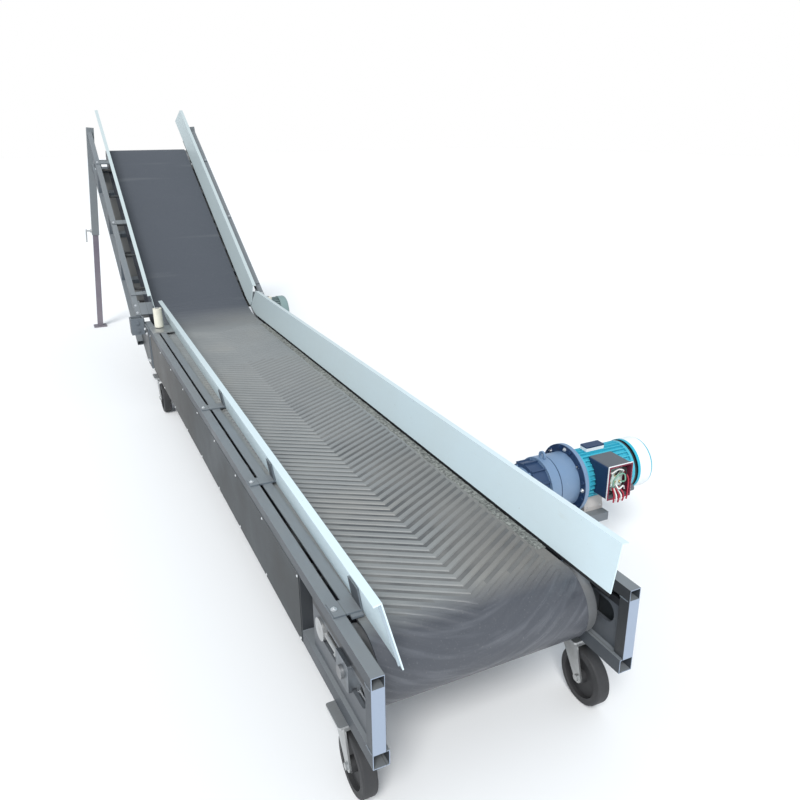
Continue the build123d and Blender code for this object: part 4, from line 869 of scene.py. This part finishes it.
# Welds where posts, cross members and guard brackets meet the rails; the panels hide those outside,
# and no bead comes nearer to the feed end than a few millimetres
POSTS = (20.0, 590.0, 1470.0, 2350.0, 3230.0, 4080.0)
POST_HALF = 20
PANELS = (580, 3900)
FEED_END = 5
welds = Batch("welds", WELD)
for side in SIDES:
    for place in POSTS:
        near, far = place - POST_HALF, place + POST_HALF
        for z, bead in ((LOW + 50, 0.8), (TOP - 40, -0.8)):
            for x in (RAIL_IN, FRAME_HALF):
                if x == FRAME_HALF and PANELS[0] < place < PANELS[1]:
                    continue
                welds.weld(at(side * x, max(near, FEED_END), z + bead), at(side * x, far, z + bead))
            for y in (near, far):
                if y > FEED_END:
                    welds.weld(at(side * (RAIL_IN + 1), y, z), at(side * (FRAME_HALF - 1), y, z))
    for place in POSTS[1:]:
        for z in (LOW + 5, LOW + 45):
            welds.weld(at(side * 390, place - POST_HALF, z), at(side * 390, place + POST_HALF, z))
    for place in (2040.0, 1420.0, 800.0):
        near, far = place - POST_HALF, place + POST_HALF
        for normal in (-40, -250):
            for x in (SLOPE_IN, SLOPE_OUT):
                welds.weld(on_slope(side * x, near, normal), on_slope(side * x, far, normal))
            for along in (near, far):
                first = on_slope(side * (SLOPE_IN + 1), along, normal)
                second = on_slope(side * (SLOPE_OUT - 1), along, normal)
                welds.weld(first, second)
    for place in BRACKETS:
        welds.weld(at(side * 436, place - 30, TOP + 1), at(side * 436, place + 30, TOP + 1), 2.0)
welds.finish(60)

# Terminal box: gasket on the open rim, the rim itself, pale lining and the studs' nuts
GASKET_WIDE, GASKET_THICK = 6.4, 2.4
RIM_WIDE, RIM_DEEP = 3, 5
gasket = Batch("box_gasket", GASKET)
gasket_y = BOX_Y - GASKET_THICK / 2
for dz in (73, -73):
    gasket.block(at(BOX_X, gasket_y, BOX_Z + dz), (124, GASKET_THICK, GASKET_WIDE), bevel=0.6)
for dx in (-59, 59):
    gasket.block(at(BOX_X + dx, gasket_y, BOX_Z), (GASKET_WIDE, GASKET_THICK, 140), bevel=0.6)
gasket.finish()
rim = Batch("box_rim", LOOKS["cowl_paint"])
for dz in (-77, 77):
    rim.block(at(BOX_X, BOX_Y + 2, BOX_Z + dz), (128, RIM_DEEP, RIM_WIDE), bevel=0.6)
for dx in (-63, 63):
    rim.block(at(BOX_X + dx, BOX_Y + 2, BOX_Z), (RIM_WIDE, RIM_DEEP, 152), bevel=0.6)
rim.finish()
lining = Batch("box_lining", BOX_INSIDE)
lining.block(at(BOX_X, BOX_Y + 50.5, BOX_Z), (110, 2, 138), bevel=0.4)
lining.finish()
nuts = Batch("stud_nuts", BRASS)
for dx in (-26, 0, 26):
    for dz in (-17, 17):
        nuts.hex_bolt(at(BOX_X + dx, BOX_Y + 30, BOX_Z + dz), -Y_DIR, 9, 5)
nuts.finish()


def curve(points, steps=7):
    """Smooth line through a few points."""
    line = []
    padded = [points[0]] + points + [points[-1]]
    for a, b, c, d in zip(padded, padded[1:], padded[2:], padded[3:]):
        for k in range(steps):
            t = k / steps
            square = (2 * a - 5 * b + 4 * c - d) * t * t
            cube = (3 * b - a - 3 * c + d) * t ** 3
            line.append(0.5 * (2 * b + (c - a) * t + square + cube))
    return line + [points[-1]]


# Look, radius and points, each from the box's open middle
WIRES = [
    (BLACK, 3.6, [(-26, 28, 17), (-40, 12, 34), (-44, 14, 0), (-34, 22, -40), (-10, 30, -60)]),
    (BLACK, 3.6, [(0, 28, 17), (8, 10, 52), (34, 10, 50), (44, 14, 8), (40, 22, -40), (50, 26, -56)]),
    (BLACK, 3.4, [(-26, 28, -17), (-46, 12, -22), (-40, 16, -52), (-14, 26, -62)]),
    (WHITE_WIRE, 3.4, [(26, 28, 17), (22, 8, 44), (-6, 8, 54), (-30, 14, 40), (-48, 30, 20)]),
    (WHITE_WIRE, 3.4, [(0, 28, -17), (6, 8, -38), (30, 10, -30), (46, 18, -50)]),
    (GREEN_WIRE, 3.2, [(26, 28, -17), (36, 8, -6), (28, 6, 26), (4, 8, 30), (-20, 12, 6), (-14, 20, -30)]),
    (RED_WIRE, 3.6, [(-12, 26, -40), (-22, 2, -58), (-26, -3, -76), (-24, 0, -92)]),
    (RED_WIRE, 3.6, [(4, 26, -44), (2, 0, -60), (0, -3, -78), (2, 1, -96)]),
    (RED_WIRE, 3.6, [(22, 26, -40), (26, 2, -58), (26, -3, -76), (24, 1, -94)]),
    (RED_WIRE, 3.4, [(42, 26, 30), (48, 4, 6), (46, -2, -40), (44, -3, -72), (46, 1, -90)]),
    (WHITE_WIRE, 3.4, [(-4, 26, -44), (-12, 0, -62), (-13, -3, -78), (-12, 1, -90)]),
    (WHITE_WIRE, 3.4, [(12, 26, -46), (13, 0, -62), (13, -3, -78), (14, 1, -92)]),
]
wires = {}
for look, radius, route in WIRES:
    if look.name not in wires:
        wires[look.name] = Batch("wires_" + look.name.split("_")[0], look)
    spots = [at(BOX_X + dx, BOX_Y + dy, BOX_Z + dz) for dx, dy, dz in route]
    wires[look.name].tube(curve(spots), radius)
for batch in wires.values():
    batch.finish(60)

# Rubber skirts beside the belt, under the right guard of the flat run and both of the rising run
SKIRT_X, SKIRT_THICK, SKIRT_TALL = 347, 3.5, 13
skirt = Batch("skirt_right", BLACK)
skirt.block(at(SKIRT_X, 1980, 529.5), (SKIRT_THICK, 3900, SKIRT_TALL), bevel=0.8)
for x in (SKIRT_X, -SKIRT_X):
    spot = on_slope(x, 1330, -15.5)
    skirt.block(spot, (SKIRT_THICK, 2300, SKIRT_TALL), SLOPE_ALONG, SLOPE_UP, bevel=0.8)
skirt.finish()

# Spill sheet screwed under the rising frame's low rails
spill = Batch("spill_sheet", LOOKS["panel_paint"])
spill.block(on_slope(0, 1400, -291.2), (976, 2080, 2.2), SLOPE_ALONG, SLOPE_UP, bevel=0.6)
spill.finish()

# Flat bar under the left guard's brackets, beside the belt
bar = Batch("edge_bar_left", LOOKS["frame_paint"])
bar.block(at(-370, 2050, 541), (38, 3600, 7.8), bevel=1.2)
bar.finish()

# Folded lip down the slanting near end of the left guard, in a darker grey-blue than the guard as painted
# shade
lip = Batch("guard_lip_left", SHADED_LIP)
lip_top = at(-372, 78, 700)
lip_along = (at(-345, 4, 536) - lip_top).normalized()
lip_mid = (at(-345, 9, 540) + lip_top) / 2 + Vector((-0.0055, 0.0045, 0.0))
lip.block(lip_mid, (11, 168, 2.4), lip_along, lip_along.cross(X_DIR), bevel=0.5)
lip.finish()

# Splash sheet on the outside of the right take-up, ahead of its block, as tall as the side panel
SPLASH_NEAR, SPLASH_FAR, SPLASH_THICK = 4, 188, 1.6
panel_low, panel_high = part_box("side_panel_right")
near, far = at(0, SPLASH_NEAR, 0).y, at(0, SPLASH_FAR, 0).y
middle_x = panel_low[0] + SPLASH_THICK / 2000
cover_place = Vector((middle_x, (near + far) / 2, (panel_low[2] + panel_high[2]) / 2))
cover_size = (SPLASH_THICK, (far - near) * 1000, (panel_high[2] - panel_low[2]) * 1000)
cover = Batch("takeup_cover_right", LOOKS["panel_paint"])
cover.block(cover_place, cover_size, bevel=0.4)
cover.finish()

# Crumbled dirt along the belt's right edge, under the guard, and a thinner line on the left: places
# across, where each begins and ends, and the step between its rows
DIRT_LINES = ((296, 338, 330, 3700, 9), (-362, -352, 600, 3600, 12))
ACROSS = 5
dirt = Batch("edge_dirt", DIRT)
for low, high, start, end, step in DIRT_LINES:
    rows = []
    for i in range(int((end - start) / step) + 1):
        y = start + i * step
        wobble = 5 * field.noise((low / 50, y / 60, 1.0))
        left, right = low + wobble + 4 * random.random(), high - 2 * random.random()
        line = []
        for k in range(ACROSS + 1):
            x = left + (right - left) * k / ACROSS
            edge = min(k, ACROSS - k) / 2.5
            lift = (1.0 + 3.2 * abs(field.noise((x / 9, y / 11, 5.0)))) * min(edge, 1.0)
            line.append(dirt.mesh.verts.new(at(x, y, BELT_TOP + lift - 0.2)))
        rows.append(line)
    for first, second in zip(rows, rows[1:]):
        for k in range(ACROSS):
            dirt.mesh.faces.new((first[k], first[k + 1], second[k + 1], second[k]))
dirt.finish(80)

# Floor
FLOOR_CORNERS = [(-40, -40, 0), (40, -40, 0), (40, 60, 0), (-40, 60, 0)]
floor_mesh = bpy.data.meshes.new("floor")
floor_mesh.from_pydata(FLOOR_CORNERS, [], [(0, 1, 2, 3)])
floor = bpy.data.objects.new("floor", floor_mesh)
bpy.context.scene.collection.objects.link(floor)
material, tree, shader = new_material("floor_look")
shader.inputs["Base Color"].default_value = (0.93, 0.93, 0.93, 1)
shader.inputs["Roughness"].default_value = 0.9
floor_mesh.materials.append(material)

# Sky: pale blue light, and plain white where the camera looks at it
world = bpy.data.worlds.new("sky")
bpy.context.scene.world = world
world.use_nodes = True
tree = world.node_tree
background = tree.nodes["Background"]
background.inputs["Color"].default_value = (0.86, 0.93, 1.0, 1)
background.inputs["Strength"].default_value = 0.75
white = tree.nodes.new("ShaderNodeBackground")
white.inputs["Color"].default_value = (1, 1, 1, 1)
white.inputs["Strength"].default_value = 1.0
rays = tree.nodes.new("ShaderNodeLightPath")
blend = tree.nodes.new("ShaderNodeMixShader")
tree.links.new(rays.outputs["Is Camera Ray"], blend.inputs[0])
tree.links.new(background.outputs[0], blend.inputs[1])
tree.links.new(white.outputs[0], blend.inputs[2])
tree.links.new(blend.outputs[0], tree.nodes["World Output"].inputs["Surface"])


def sun(name, direction, strength, spread, colour):
    """Lamp by the direction of its light; spread is the angle that it fills, in degrees."""
    lamp = bpy.data.lights.new(name, "SUN")
    lamp.energy = strength
    lamp.angle = math.radians(spread)
    lamp.color = colour
    placed = bpy.data.objects.new(name, lamp)
    placed.rotation_euler = Vector(direction).to_track_quat("-Z", "Y").to_euler()
    bpy.context.scene.collection.objects.link(placed)


sun("key", (0.42, 0.62, -0.80), 2.1, 22, (1, 0.99, 0.97))
sun("fill", (0.55, 0.75, -0.20), 0.6, 60, (0.85, 0.92, 1))

# Camera at the photograph's place; its focal length is in pixels of a picture 800 wide
CAMERA_PLACE = (-1001.2, -1365.1, 1833.6)
YAW, PITCH, ROLL = (math.radians(value) for value in (25.46, 20.28, -0.53))
FOCAL, PICTURE, SENSOR = 731.7, 800, 36
level = math.cos(PITCH)
forward = Vector((math.sin(YAW) * level, math.cos(YAW) * level, -math.sin(PITCH)))
right = Vector((math.cos(YAW), -math.sin(YAW), 0))
up = right.cross(forward)
right_rolled = right * math.cos(ROLL) + up * math.sin(ROLL)
up_rolled = up * math.cos(ROLL) - right * math.sin(ROLL)
lens = bpy.data.cameras.new("camera")
lens.sensor_width = SENSOR
lens.lens = FOCAL / PICTURE * SENSOR
lens.clip_end = 200
camera = bpy.data.objects.new("camera", lens)
turn = Matrix((right_rolled, up_rolled, -forward)).transposed().to_4x4()
camera.matrix_world = Matrix.Translation(at(*CAMERA_PLACE)) @ turn
bpy.context.scene.collection.objects.link(camera)
bpy.context.scene.camera = camera
bpy.context.scene.view_settings.view_transform = "Standard"
